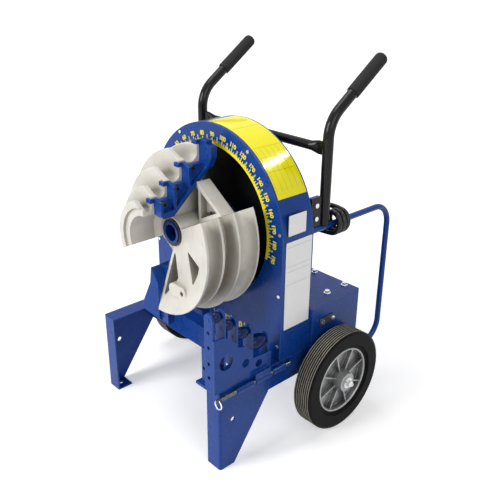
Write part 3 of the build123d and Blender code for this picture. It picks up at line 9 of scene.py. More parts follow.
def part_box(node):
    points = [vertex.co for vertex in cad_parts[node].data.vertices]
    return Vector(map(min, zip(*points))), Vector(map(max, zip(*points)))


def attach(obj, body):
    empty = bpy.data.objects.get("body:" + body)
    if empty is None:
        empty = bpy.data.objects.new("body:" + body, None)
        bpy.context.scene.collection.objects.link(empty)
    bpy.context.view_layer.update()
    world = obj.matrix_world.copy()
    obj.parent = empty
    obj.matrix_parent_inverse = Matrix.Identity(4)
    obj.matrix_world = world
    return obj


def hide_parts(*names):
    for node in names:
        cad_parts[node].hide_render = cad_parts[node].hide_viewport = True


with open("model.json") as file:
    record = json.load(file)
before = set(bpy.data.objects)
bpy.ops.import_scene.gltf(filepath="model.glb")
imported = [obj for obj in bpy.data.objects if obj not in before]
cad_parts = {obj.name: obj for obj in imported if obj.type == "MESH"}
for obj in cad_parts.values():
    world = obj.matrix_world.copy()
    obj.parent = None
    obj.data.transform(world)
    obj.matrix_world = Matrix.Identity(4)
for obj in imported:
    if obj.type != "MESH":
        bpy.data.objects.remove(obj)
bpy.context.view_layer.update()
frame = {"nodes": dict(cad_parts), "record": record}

nodes = frame["nodes"]
scene = bpy.context.scene
scene.view_settings.view_transform = "Standard"
print("frame loaded with", len(nodes), "nodes")


def middleOf(node):
    low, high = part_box(node)
    return (low + high) / 2


# Places in the frame that the prints follow
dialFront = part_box("dial_plate")[0].y
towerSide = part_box("tower_shell")[1].x
shaftHeight = middleOf("main_shaft").z

# Camera, at the photograph's place
cameraSetup = {
    "place": (1.4547, -1.0075, 1.3761),
    "turn": 46.78627,     # degrees to the left of looking along +Y
    "tilt": 23.917703,    # degrees down
    "roll": 0.59251,
    "lens": 48.16,
    "sensor": 36.0,
    "farthest": 200,
}


def placeCamera(setup):
    turn, tilt, roll = (math.radians(setup[k]) for k in ("turn", "tilt", "roll"))
    level = Vector((math.cos(turn), math.sin(turn), 0))
    ahead = Vector((-math.sin(turn) * math.cos(tilt), math.cos(turn) * math.cos(tilt), -math.sin(tilt)))
    top = level.cross(ahead)
    right = level * math.cos(roll) + top * math.sin(roll)
    up = top * math.cos(roll) - level * math.sin(roll)
    data = bpy.data.cameras.new("photoCamera")
    data.lens = setup["lens"]
    data.sensor_width = setup["sensor"]
    data.clip_end = setup["farthest"]
    camera = bpy.data.objects.new("photoCamera", data)
    scene.collection.objects.link(camera)
    axes = Matrix((right, up, -ahead)).transposed().to_4x4()
    camera.matrix_world = Matrix.Translation(setup["place"]) @ axes
    scene.camera = camera


placeCamera(cameraSetup)
print("camera placed")


# Cable of the hand control, hung in loops on the stand tube
cableRoute = {
    "diameter": 0.016,
    "length": 0.98,
    "start": (0.150, 0.340, 0.618),      # inside the gland
    "glandTurn": (0.150, 0.4155, 0.618),
    "loopCentre": (0.275, 0.427, 0.650),
    "loopRadius": 0.032,
    "loopPitch": 0.0185,
    "loopTurns": 2.5,
    "pointsPerTurn": 12,
    "leadOut": 0.060,
    "drop": (0.070, 0.359, 0.682),
    "end": (0.070, 0.359, 0.610),        # top of the hand control
    "pointRadius": 0.01,
    "roundSteps": 6,
    "lengthSteps": 8,
}


def cablePoints(route):
    points = [Vector(route["start"]), Vector(route["glandTurn"])]
    cx, cy, cz = route["loopCentre"]
    steps = int(route["loopTurns"] * route["pointsPerTurn"])
    for i in range(steps + 1):
        turn = i / route["pointsPerTurn"]
        swing = 2 * math.pi * turn
        points.append(Vector((
            cx + route["loopRadius"] * math.sin(swing),
            cy + route["loopPitch"] * turn,
            cz - route["loopRadius"] * math.cos(swing),
        )))
    way = Vector((-2 * math.pi * route["loopRadius"], route["loopPitch"], 0)).normalized()
    points.append(points[-1] + route["leadOut"] * way)
    points.append(Vector(route["drop"]))
    points.append(Vector(route["end"]))
    return points


def makeCable(route):
    points = cablePoints(route)
    data = bpy.data.curves.new("handCable", "CURVE")
    data.dimensions = "3D"
    data.bevel_depth = route["diameter"] / 2 / route["pointRadius"]
    data.bevel_resolution = route["roundSteps"]
    data.resolution_u = route["lengthSteps"]
    data.use_fill_caps = True
    spline = data.splines.new("NURBS")
    spline.points.add(len(points) - 1)
    for target, point in zip(spline.points, points):
        target.co = (*point, 1)
        target.radius = route["pointRadius"]
    spline.order_u = 3
    spline.use_endpoint_u = True
    cable = bpy.data.objects.new("handCable", data)
    scene.collection.objects.link(cable)
    return cable


handCable = makeCable(cableRoute)
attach(handCable, "frame")
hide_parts("control_cable")
print("cable laid with", len(handCable.data.splines[0].points), "points")


# Node helpers, for materials and for grown meshes
def feed(tree, socket, value):
    if isinstance(value, (int, float)):
        socket.default_value = value
    else:
        tree.links.new(value, socket)


def mathOf(tree, kind, first, second=None):
    node = tree.nodes.new("ShaderNodeMath")
    node.operation = kind
    for socket, value in zip(node.inputs, (first, second)):
        if value is not None:
            feed(tree, socket, value)
    return node.outputs["Value"]


def vectorMath(tree, kind, first, second=None):
    node = tree.nodes.new("ShaderNodeVectorMath")
    node.operation = kind
    tree.links.new(first, node.inputs[0])
    if isinstance(second, tuple):
        node.inputs[1].default_value = second
    elif second is not None:
        tree.links.new(second, node.inputs[1])
    return node.outputs


def joinVector(tree, x, y, z):
    node = tree.nodes.new("ShaderNodeCombineXYZ")
    for socket, value in zip(node.inputs, (x, y, z)):
        feed(tree, socket, value)
    return node.outputs["Vector"]


# Material helpers; a noise is given by its scale, detail and roughness
noiseSpan = (0.3, 0.7)                # where nearly all values of a noise lie
edgeSpan = (0.02, 0.22)               # how far a rounded edge has to lean to count as an edge, for wear and for the painted highlight
edgeSamples = 4


def startMaterial(name):
    material = bpy.data.materials.new(name)
    material.use_nodes = True
    tree = material.node_tree
    shader = tree.nodes["Principled BSDF"]
    place = tree.nodes.new("ShaderNodeTexCoord").outputs["Object"]
    return material, tree, shader, place


def setShader(shader, values):
    for name, value in values.items():
        shader.inputs[name].default_value = value


def noiseOf(tree, place, scale, detail=3.0, rough=0.55):
    noise = tree.nodes.new("ShaderNodeTexNoise")
    noise.inputs["Scale"].default_value = scale
    noise.inputs["Detail"].default_value = detail
    noise.inputs["Roughness"].default_value = rough
    tree.links.new(place, noise.inputs["Vector"])
    return noise.outputs["Fac"]


def rangeOf(tree, value, fromLow, fromHigh, toLow, toHigh):
    spread = tree.nodes.new("ShaderNodeMapRange")
    numbers = {"From Min": fromLow, "From Max": fromHigh, "To Min": toLow, "To Max": toHigh}
    for socket, number in numbers.items():
        spread.inputs[socket].default_value = number
    tree.links.new(value, spread.inputs["Value"])
    return spread.outputs["Result"]


def cloudOf(tree, place, noise, low=0.0, high=1.0):
    return rangeOf(tree, noiseOf(tree, place, *noise), *noiseSpan, low, high)


def blendOf(tree, share, first, second):
    mix = tree.nodes.new("ShaderNodeMix")
    mix.data_type = "RGBA"
    colours = [s for s in mix.inputs if s.type == "RGBA"]
    for socket, value in zip(colours, (first, second)):
        if isinstance(value, tuple):
            socket.default_value = (*value, 1)
        else:
            tree.links.new(value, socket)
    tree.links.new(share, mix.inputs["Factor"])
    return [s for s in mix.outputs if s.type == "RGBA"][0]


def bumpOf(tree, height, strength, distance, normal):
    bump = tree.nodes.new("ShaderNodeBump")
    bump.inputs["Strength"].default_value = strength
    bump.inputs["Distance"].default_value = distance
    tree.links.new(height, bump.inputs["Height"])
    tree.links.new(normal, bump.inputs["Normal"])
    return bump.outputs["Normal"]


def roundedEdge(tree, radius):
    bevel = tree.nodes.new("ShaderNodeBevel")
    bevel.samples = edgeSamples
    bevel.inputs["Radius"].default_value = radius
    return bevel.outputs["Normal"]


# How light the rounded edges are: a painted highlight on every edge, and more in patches of a noise for
# wear; on the rounded edges only
def wornEdges(tree, place, rounded, pattern, least, most):
    flat = tree.nodes.new("ShaderNodeNewGeometry").outputs["True Normal"]
    facing = vectorMath(tree, "DOT_PRODUCT", rounded, flat)["Value"]
    edge = rangeOf(tree, mathOf(tree, "SUBTRACT", 1.0, facing), *edgeSpan, 0.0, 1.0)
    patch = rangeOf(tree, noiseOf(tree, place, *pattern["rub"]), *pattern["rubSpan"], least, most)
    return mathOf(tree, "MULTIPLY", edge, patch)


def spreadOf(rough, spread):
    return rough + spread[0], rough + spread[1]


def scaled(colour, share):
    return tuple(min(1.0, c * share) for c in colour)


# Painted sheet metal and tube: cloudy colour, orange peel, worn edges with a painted highlight
paintPattern = {"cloud": (7.0, 4), "tint": (0.9, 1.1), "rub": (90.0, 5, 0.7), "rubSpan": (0.42, 0.62),
                "leastEdgeHighlight": 0.4, "sheen": (30.0, 4), "roughSpread": (-0.05, 0.07), "peelDetail": 2,
                "peelHeight": 0.0006, "coatRough": 0.12}


def paintFinish(name, look, pattern=paintPattern):
    material, tree, shader, place = startMaterial(name)
    dark, light = (scaled(look["colour"], share) for share in pattern["tint"])
    base = blendOf(tree, cloudOf(tree, place, pattern["cloud"]), dark, light)
    rounded = roundedEdge(tree, look["round"])
    # Lighter rounded edges: painted highlight on all of them, and wear in patches
    worn = wornEdges(tree, place, rounded, pattern, pattern["leastEdgeHighlight"] * look["wear"], look["wear"])
    tree.links.new(blendOf(tree, worn, base, look["edge"]), shader.inputs["Base Color"])
    rough = cloudOf(tree, place, pattern["sheen"], *spreadOf(look["rough"], pattern["roughSpread"]))
    tree.links.new(rough, shader.inputs["Roughness"])
    peel = noiseOf(tree, place, look["peel"], pattern["peelDetail"])
    bump = bumpOf(tree, peel, look["peelDepth"], pattern["peelHeight"], rounded)
    tree.links.new(bump, shader.inputs["Normal"])
    setShader(shader, {"Specular IOR Level": look["gloss"], "Coat Weight": look["coat"],
                       "Coat Roughness": pattern["coatRough"]})
    return material


# The edge colours below are the lighter rounded edges: painted highlight, and wear
bluePaint = {"colour": (0.0042, 0.049, 0.270), "edge": (0.12, 0.26, 0.62), "rough": 0.28, "coat": 0.04,
             "gloss": 0.20, "round": 0.0022, "wear": 0.7, "peel": 420.0, "peelDepth": 0.03}
darkBlueEnamel = {"colour": (0.0030, 0.026, 0.150), "edge": (0.05, 0.11, 0.36), "rough": 0.13, "coat": 0.0,
                  "gloss": 0.22, "round": 0.0014, "wear": 0.5, "peel": 380.0, "peelDepth": 0.02}
rollerEnamel = {"colour": (0.0020, 0.016, 0.095), "edge": (0.02, 0.05, 0.20), "rough": 0.08, "coat": 0.0,
                "gloss": 0.15, "round": 0.0010, "wear": 0.3, "peel": 380.0, "peelDepth": 0.01}
blackPaint = {"colour": (0.007, 0.007, 0.008), "edge": (0.06, 0.06, 0.06), "rough": 0.15, "coat": 0.02,
              "gloss": 0.20, "round": 0.0014, "wear": 0.5, "peel": 420.0, "peelDepth": 0.03}
darkGreyPaint = {"colour": (0.045, 0.048, 0.052), "edge": (0.16, 0.16, 0.16), "rough": 0.44, "coat": 0.05,
                 "gloss": 0.25, "round": 0.0014, "wear": 0.6, "peel": 420.0, "peelDepth": 0.14}
motorPaint = {"colour": (0.14, 0.15, 0.16), "edge": (0.32, 0.32, 0.31), "rough": 0.46, "coat": 0.05,
              "gloss": 0.3, "round": 0.0018, "wear": 0.7, "peel": 260.0, "peelDepth": 0.25}
gearboxPaint = {"colour": (0.20, 0.21, 0.22), "edge": (0.42, 0.42, 0.41), "rough": 0.5, "coat": 0.05,
                "gloss": 0.3, "round": 0.002, "wear": 0.7, "peel": 160.0, "peelDepth": 0.35}


# Sand-cast aluminium: grain, mottling, painted shade and grime in the corners, crests lightened by wear and
# a painted highlight
castingPattern = {"mottle": (14.0, 5, 0.6), "rub": (70.0, 5, 0.7), "rubSpan": (0.4, 0.62), "leastEdgeHighlight": 0.2,
                  "sheen": (45.0, 4), "roughSpread": (-0.07, 0.08), "grainNoise": (4, 0.65),
                  "grainHeight": 0.0006, "swell": (60.0, 3), "swellDepth": 0.12, "swellHeight": 0.002,
                  "cornerSamples": 4}


def castingFinish(name, look, pattern=castingPattern):
    material, tree, shader, place = startMaterial(name)
    base = blendOf(tree, cloudOf(tree, place, pattern["mottle"]), look["low"], look["high"])
    # Painted shade, with a warm grime tone: darker in hollows and corners, from the part's own ambient
    # occlusion
    corner = tree.nodes.new("ShaderNodeAmbientOcclusion")
    corner.samples = pattern["cornerSamples"]
    corner.only_local = True
    corner.inputs["Distance"].default_value = look["cornerReach"]
    shadeAndGrime = rangeOf(tree, corner.outputs["AO"], *look["cornerSpan"], look["shadeAndGrimeDepth"], 0.0)
    base = blendOf(tree, shadeAndGrime, base, look["shadeAndGrime"])
    rounded = roundedEdge(tree, look["round"])
    # Lighter rounded edges: painted highlight on all of them, and wear in patches
    worn = wornEdges(tree, place, rounded, pattern, pattern["leastEdgeHighlight"], look["wear"])
    tree.links.new(blendOf(tree, worn, base, look["edge"]), shader.inputs["Base Color"])
    rough = cloudOf(tree, place, pattern["sheen"], *spreadOf(look["rough"], pattern["roughSpread"]))
    tree.links.new(rough, shader.inputs["Roughness"])
    swell = noiseOf(tree, place, *pattern["swell"])
    soft = bumpOf(tree, swell, pattern["swellDepth"], pattern["swellHeight"], rounded)
    grain = noiseOf(tree, place, look["grain"], *pattern["grainNoise"])
    bump = bumpOf(tree, grain, look["grainDepth"], pattern["grainHeight"], soft)
    tree.links.new(bump, shader.inputs["Normal"])
    setShader(shader, {"Metallic": look["metal"], "Specular IOR Level": look["gloss"]})
    return material


# In the castings below, the dark tone is the painted shade and grime of the hollows, and the edge tone is
# the painted highlight and wear of the rounded edges
creamCasting = {"low": (0.605, 0.580, 0.520), "high": (0.735, 0.712, 0.655), "shadeAndGrime": (0.235, 0.20, 0.145),
                "edge": (0.88, 0.87, 0.85), "rough": 0.38, "metal": 0.12, "gloss": 0.4, "round": 0.0022,
                "wear": 0.8, "grain": 900.0, "grainDepth": 0.2,
                "cornerReach": 0.060, "cornerSpan": (0.25, 0.95), "shadeAndGrimeDepth": 0.72}
rimCasting = {"low": (0.30, 0.302, 0.305), "high": (0.40, 0.402, 0.406), "shadeAndGrime": (0.022, 0.022, 0.022),
              "edge": (0.90, 0.90, 0.90), "rough": 0.34, "metal": 0.6, "gloss": 0.5, "round": 0.0024,
              "wear": 1.0, "grain": 700.0, "grainDepth": 0.1,
              "cornerReach": 0.030, "cornerSpan": (0.2, 0.9), "shadeAndGrimeDepth": 0.9}


# Bare and plated metal: brushed streaks, stains
metalPattern = {"streak": (60.0, 4, 0.65), "streakHeight": 0.0004, "roughSpread": (-0.06, 0.08),
                "spot": (35.0, 6, 0.7), "spotSpan": (0.58, 0.75)}


def metalFinish(name, look, pattern=metalPattern):
    material, tree, shader, place = startMaterial(name)
    stretch = tree.nodes.new("ShaderNodeMapping")
    stretch.inputs["Scale"].default_value = look["brush"]
    tree.links.new(place, stretch.inputs["Vector"])
    streak = noiseOf(tree, stretch.outputs["Vector"], *pattern["streak"])
    base = blendOf(tree, rangeOf(tree, streak, *noiseSpan, 0.0, 1.0), look["low"], look["high"])
    spot = rangeOf(tree, noiseOf(tree, place, *pattern["spot"]), *pattern["spotSpan"], 0.0, look["stain"])
    tree.links.new(blendOf(tree, spot, base, look["stainColour"]), shader.inputs["Base Color"])
    rough = rangeOf(tree, streak, *noiseSpan, *spreadOf(look["rough"], pattern["roughSpread"]))
    tree.links.new(rough, shader.inputs["Roughness"])
    bump = bumpOf(tree, streak, look["depth"], pattern["streakHeight"], roundedEdge(tree, look["round"]))
    tree.links.new(bump, shader.inputs["Normal"])
    setShader(shader, {"Metallic": look["metal"]})
    return material


machinedSteel = {"low": (0.42, 0.42, 0.41), "high": (0.60, 0.60, 0.59), "rough": 0.34, "metal": 1.0,
                 "depth": 0.06, "brush": (1.0, 8.0, 1.0), "round": 0.001,
                 "stain": 0.5, "stainColour": (0.24, 0.20, 0.16)}
oiledSteel = {"low": (0.085, 0.087, 0.092), "high": (0.15, 0.152, 0.157), "rough": 0.26, "metal": 0.9,
              "depth": 0.04, "brush": (1.0, 6.0, 1.0), "round": 0.001,
              "stain": 0.4, "stainColour": (0.05, 0.045, 0.04)}
blackOxide = {"low": (0.018, 0.018, 0.019), "high": (0.035, 0.035, 0.036), "rough": 0.36, "metal": 0.6,
              "depth": 0.05, "brush": (1.0, 1.0, 1.0), "round": 0.0008,
              "stain": 0.4, "stainColour": (0.06, 0.05, 0.045)}
zincPlate = {"low": (0.62, 0.63, 0.64), "high": (0.80, 0.81, 0.81), "rough": 0.28, "metal": 0.9,
             "depth": 0.05, "brush": (1.0, 1.0, 3.0), "round": 0.0008,
             "stain": 0.35, "stainColour": (0.55, 0.52, 0.42)}
chromePlate = {"low": (0.74, 0.75, 0.76), "high": (0.86, 0.87, 0.88), "rough": 0.12, "metal": 1.0,
               "depth": 0.02, "brush": (1.0, 1.0, 1.0), "round": 0.0008,
               "stain": 0.25, "stainColour": (0.5, 0.5, 0.5)}


# Rubber, foam and moulded plastic
mouldedPattern = {"cloud": (22.0, 5, 0.6), "rub": (110.0, 5, 0.7), "rubSpan": (0.4, 0.62), "leastEdgeHighlight": 0.1,
                  "roughSpread": (-0.05, 0.06), "grainNoise": (3, 0.6), "grainHeight": 0.0005}


def mouldedFinish(name, look, pattern=mouldedPattern):
    material, tree, shader, place = startMaterial(name)
    cloud = cloudOf(tree, place, pattern["cloud"])
    base = blendOf(tree, cloud, look["low"], look["high"])
    rounded = roundedEdge(tree, look["round"])
    # Lighter rounded edges: painted highlight on all of them, and wear in patches
    worn = wornEdges(tree, place, rounded, pattern, pattern["leastEdgeHighlight"], look["wear"])
    tree.links.new(blendOf(tree, worn, base, look["edge"]), shader.inputs["Base Color"])
    rough = rangeOf(tree, cloud, 0.0, 1.0, *spreadOf(look["rough"], pattern["roughSpread"]))
    tree.links.new(rough, shader.inputs["Roughness"])
    grain = noiseOf(tree, place, look["grain"], *pattern["grainNoise"])
    bump = bumpOf(tree, grain, look["grainDepth"], pattern["grainHeight"], rounded)
    tree.links.new(bump, shader.inputs["Normal"])
    setShader(shader, {"Specular IOR Level": look["gloss"]})
    return material


gripFoam = {"low": (0.018, 0.018, 0.018), "high": (0.030, 0.030, 0.030), "edge": (0.03, 0.03, 0.03),
            "rough": 0.8, "gloss": 0.2, "round": 0.002, "wear": 0.5, "grain": 700.0, "grainDepth": 0.8}
cableRubber = {"low": (0.007, 0.007, 0.008), "high": (0.013, 0.013, 0.014), "edge": (0.03, 0.03, 0.03),
               "rough": 0.3, "gloss": 0.32, "round": 0.001, "wear": 0.3, "grain": 800.0, "grainDepth": 0.1}
controlPlastic = {"low": (0.018, 0.018, 0.019), "high": (0.028, 0.028, 0.029), "edge": (0.09, 0.09, 0.09),
                  "rough": 0.48, "gloss": 0.3, "round": 0.0015, "wear": 0.6, "grain": 900.0,
                  "grainDepth": 0.2}
greenButton = {"low": (0.010, 0.20, 0.045), "high": (0.014, 0.26, 0.06), "edge": (0.10, 0.40, 0.18),
               "rough": 0.32, "gloss": 0.4, "round": 0.001, "wear": 0.5, "grain": 600.0, "grainDepth": 0.06}
redButton = {"low": (0.36, 0.012, 0.010), "high": (0.45, 0.017, 0.013), "edge": (0.6, 0.12, 0.10),
             "rough": 0.32, "gloss": 0.4, "round": 0.001, "wear": 0.5, "grain": 600.0, "grainDepth": 0.06}


# Tyre: black sidewall, dusty tops of the tread ribs
tyreLook = {
    "dustDepth": (0.0028, 0.0008),       # under the tread's crown: where dust starts, and where it is full
    "ribs": 8, "ribPitch": 0.0075,
    "dustWidth": (0.15, 0.28),           # shares of a rib, from its middle
    "low": (0.0060, 0.0060, 0.0062), "high": (0.0095, 0.0095, 0.010), "dust": (0.33, 0.305, 0.25),
    "cloud": (26.0, 6, 0.65), "patch": (55.0, 6, 0.7), "patchSpan": (0.35, 0.62), "leastDust": 0.7,
    "rough": 0.46, "dustRough": 0.85, "gloss": 0.05, "round": 0.0016,
    "grain": (500.0, 4, 0.6), "grainDepth": 0.2, "grainHeight": 0.0006,
}


def tyreFinish(name, look):
    material, tree, shader, place = startMaterial(name)
    centre = middleOf("right_tyre")
    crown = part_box("right_tyre")[1].z - centre.z
    shift = vectorMath(tree, "SUBTRACT", place, tuple(centre))["Vector"]
    flat = vectorMath(tree, "MULTIPLY", shift, (0.0, 1.0, 1.0))["Vector"]    # square to the axle
    reach = vectorMath(tree, "LENGTH", flat)["Value"]
    top = rangeOf(tree, reach, *(crown - depth for depth in look["dustDepth"]), 0.0, 1.0)
    firstRib = centre.x - look["ribPitch"] * (look["ribs"] - 1) / 2
    axes = tree.nodes.new("ShaderNodeSeparateXYZ")
    tree.links.new(place, axes.inputs["Vector"])
    along = mathOf(tree, "SUBTRACT", mathOf(tree, "ABSOLUTE", axes.outputs["X"]), firstRib)
    ribs = mathOf(tree, "DIVIDE", along, look["ribPitch"])
    part = mathOf(tree, "FRACT", mathOf(tree, "ADD", ribs, 0.5))
    middle = mathOf(tree, "ABSOLUTE", mathOf(tree, "SUBTRACT", part, 0.5))
    top = mathOf(tree, "MULTIPLY", top, rangeOf(tree, middle, *look["dustWidth"], 1.0, 0.0))
    base = blendOf(tree, cloudOf(tree, place, look["cloud"]), look["low"], look["high"])
    patch = rangeOf(tree, noiseOf(tree, place, *look["patch"]), *look["patchSpan"], look["leastDust"], 1.0)
    dusty = mathOf(tree, "MULTIPLY", top, patch)
    tree.links.new(blendOf(tree, dusty, base, look["dust"]), shader.inputs["Base Color"])
    rough = rangeOf(tree, top, 0.0, 1.0, look["rough"], look["dustRough"])
    tree.links.new(rough, shader.inputs["Roughness"])
    grain = noiseOf(tree, place, *look["grain"])
    bump = bumpOf(tree, grain, look["grainDepth"], look["grainHeight"], roundedEdge(tree, look["round"]))
    tree.links.new(bump, shader.inputs["Normal"])
    setShader(shader, {"Specular IOR Level": look["gloss"]})
    return material


finishes = {
    "blue_paint": paintFinish("bluePowderCoat", bluePaint),
    "dark_blue": paintFinish("darkBlueEnamel", darkBlueEnamel),
    "black_paint": paintFinish("blackPowderCoat", blackPaint),
    "dark_grey_paint": paintFinish("darkGreyPaint", darkGreyPaint),
    "motor_grey": paintFinish("motorPaint", motorPaint),
    "gearbox_grey": paintFinish("gearboxPaint", gearboxPaint),
    "cast_cream": castingFinish("creamCasting", creamCasting),
    "steel": metalFinish("machinedSteel", machinedSteel),
    "black_steel": metalFinish("blackOxide", blackOxide),
    "zinc": metalFinish("zincPlate", zincPlate),
    "chrome": metalFinish("chromePlate", chromePlate),
    "rim_grey": castingFinish("rimCasting", rimCasting),
    "grip_rubber": mouldedFinish("gripFoam", gripFoam),
    "cable_rubber": mouldedFinish("cableRubber", cableRubber),
    "control_plastic": mouldedFinish("controlPlastic", controlPlastic),
    "green_button": mouldedFinish("greenButton", greenButton),
    "red_button": mouldedFinish("redButton", redButton),
    "tyre_rubber": tyreFinish("tyreRubber", tyreLook),
}
for row in frame["record"]["subparts"]:
    mesh = nodes[row["node"]].data
    mesh.materials.clear()
    mesh.materials.append(finishes[row["material_slot"]])

# Nodes that look other than the rest of their slot
glossyBlue = paintFinish("rollerEnamel", rollerEnamel)
ownFinish = {"hinge_pin": metalFinish("oiledSteel", oiledSteel), "roller_axles": finishes["blue_paint"]}
ownFinish.update({"roller_%d" % number: glossyBlue for number in range(1, 5)})
for name, material in ownFinish.items():
    nodes[name].data.materials[0] = material
handCable.data.materials.append(finishes["cable_rubber"])
print("finishes put on", len(nodes), "nodes and the cable")


# Thin printed pieces, laid on the CAD faces
def framePiece(name, mesh, material):
    piece = bpy.data.objects.new(name, mesh)
    scene.collection.objects.link(piece)
    mesh.materials.append(material)
    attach(piece, "frame")


# A closed skin through rows of corners, with flat ends
def skinMesh(name, rows):
    bm = bmesh.new()
    rings = [[bm.verts.new(corner) for corner in row] for row in rows]
    for one, two in zip(rings, rings[1:]):
        for here in range(len(one)):
            after = (here + 1) % len(one)
            bm.faces.new((one[here], one[after], two[after], two[here]))
    bm.faces.new(rings[0])
    bm.faces.new(rings[-1])
    bmesh.ops.recalc_face_normals(bm, faces=bm.faces[:])
    mesh = bpy.data.meshes.new(name)
    bm.to_mesh(mesh)
    bm.free()
    return mesh


def joinMeshes(name, meshes):
    bm = bmesh.new()
    for mesh in meshes:
        bm.from_mesh(mesh)
    for face in bm.faces:
        face.material_index = 0          # grown meshes bring another slot
    joined = bpy.data.meshes.new(name)
    bm.to_mesh(joined)
    bm.free()
    return joined


# The mesh that an object has with its modifiers, or as a text; the object itself goes
def plainMesh(carrier):
    scene.collection.objects.link(carrier)
    bpy.context.view_layer.update()
    mesh = bpy.data.meshes.new_from_object(carrier.evaluated_get(bpy.context.evaluated_depsgraph_get()))
    carrier.modifiers.clear()
    bpy.data.objects.remove(carrier)
    return mesh


# Inks and films
printPattern = {"cloud": (40.0, 5, 0.65), "rub": (150.0, 5, 0.7), "rubSpan": (0.5, 0.68),
                "roughSpread": (-0.04, 0.05), "swell": (120.0, 3), "swellHeight": 0.0004, "round": 0.0006}


def printFinish(name, look, pattern=printPattern):
    material, tree, shader, place = startMaterial(name)
    cloud = cloudOf(tree, place, pattern["cloud"])
    base = blendOf(tree, cloud, look["low"], look["high"])
    rub = rangeOf(tree, noiseOf(tree, place, *pattern["rub"]), *pattern["rubSpan"], 0.0, look["wear"])
    tree.links.new(blendOf(tree, rub, base, look["worn"]), shader.inputs["Base Color"])
    rough = rangeOf(tree, cloud, 0.0, 1.0, *spreadOf(look["rough"], pattern["roughSpread"]))
    tree.links.new(rough, shader.inputs["Roughness"])
    swell = noiseOf(tree, place, *pattern["swell"])
    bump = bumpOf(tree, swell, look["wave"], pattern["swellHeight"], roundedEdge(tree, pattern["round"]))
    tree.links.new(bump, shader.inputs["Normal"])
    setShader(shader, {"Specular IOR Level": look["gloss"]})
    return material


yellowInk = printFinish("yellowInk", {
    "low": (0.90, 0.76, 0.008), "high": (0.96, 0.84, 0.014), "worn": (0.62, 0.52, 0.05),
    "wear": 0.25, "rough": 0.4, "gloss": 0.3, "wave": 0.06})
yellowFilm = printFinish("yellowFilm", {
    "low": (0.95, 0.86, 0.003), "high": (0.98, 0.90, 0.005), "worn": (0.90, 0.80, 0.01),
    "wear": 0.2, "rough": 0.12, "gloss": 0.34, "wave": 0.004})
whiteFilm = printFinish("whiteFilm", {
    "low": (0.91, 0.91, 0.91), "high": (0.94, 0.94, 0.94), "worn": (0.88, 0.88, 0.87),
    "wear": 0.2, "rough": 0.2, "gloss": 0.4, "wave": 0.02})
darkInk = printFinish("darkInk", {
    "low": (0.020, 0.020, 0.022), "high": (0.032, 0.032, 0.034), "worn": (0.08, 0.08, 0.08),
    "wear": 0.3, "rough": 0.4, "gloss": 0.25, "wave": 0.04})
greyInk = printFinish("greyInk", {
    "low": (0.42, 0.42, 0.43), "high": (0.48, 0.48, 0.49), "worn": (0.60, 0.60, 0.60),
    "wear": 0.4, "rough": 0.4, "gloss": 0.25, "wave": 0.04})
oliveInk = printFinish("oliveInk", {
    "low": (0.34, 0.31, 0.02), "high": (0.42, 0.38, 0.03), "worn": (0.60, 0.54, 0.04),
    "wear": 0.4, "rough": 0.4, "gloss": 0.25, "wave": 0.04})


# Dial: band, ticks and plain numbers, and the marks behind the rollers
dialScale = {
    "centre": (0.0, dialFront, shaftHeight),
    "lift": 0.0003,
    "band": (0.2326, 0.2410),
    "bandSweep": (204.0, -13.0),         # degrees, from left over the top
    "bandSteps": 220,
    "first": 0, "last": 190, "step": 10,
    "zeroAngle": 180.0,                  # degrees, where the number 0 stands
    "ticks": (                           # step in degrees, length and width
        (2.0, 0.0070, 0.0042),
        (5.0, 0.0092, 0.0040),
        (10.0, 0.0132, 0.0048),
    ),
    "tickOverlap": 0.0003,
    "numberRadius": 0.2622, "numberHeight": 0.0126, "numberBold": 0.0009,
    "fiveRadius": 0.2540, "fiveHeight": 0.0072, "fiveBold": 0.0005,
    "lowBars": (                         # from, to and width on the dial's face
        ((0.0435, 0.3346), (0.1122, 0.3285), 0.0022),
        ((0.0564, 0.3150), (0.0564, 0.3310), 0.0046),
        ((0.0780, 0.3380), (0.0920, 0.3366), 0.0036),
        ((0.1429, 0.3275), (0.1429, 0.3400), 0.0044),
        ((0.0000, 0.3230), (0.0000, 0.3312), 0.0040),
    ),
    "lowZero": (0.1245, 0.3245), "lowHeight": 0.021, "lowBold": 0.0016,
    "capShare": 0.70,                    # a numeral's height as a share of the letter size
    "inkDepth": 0.00012,
}
tickShape = {"sides": 4, "topShare": 0.35, "footShare": 0.62}


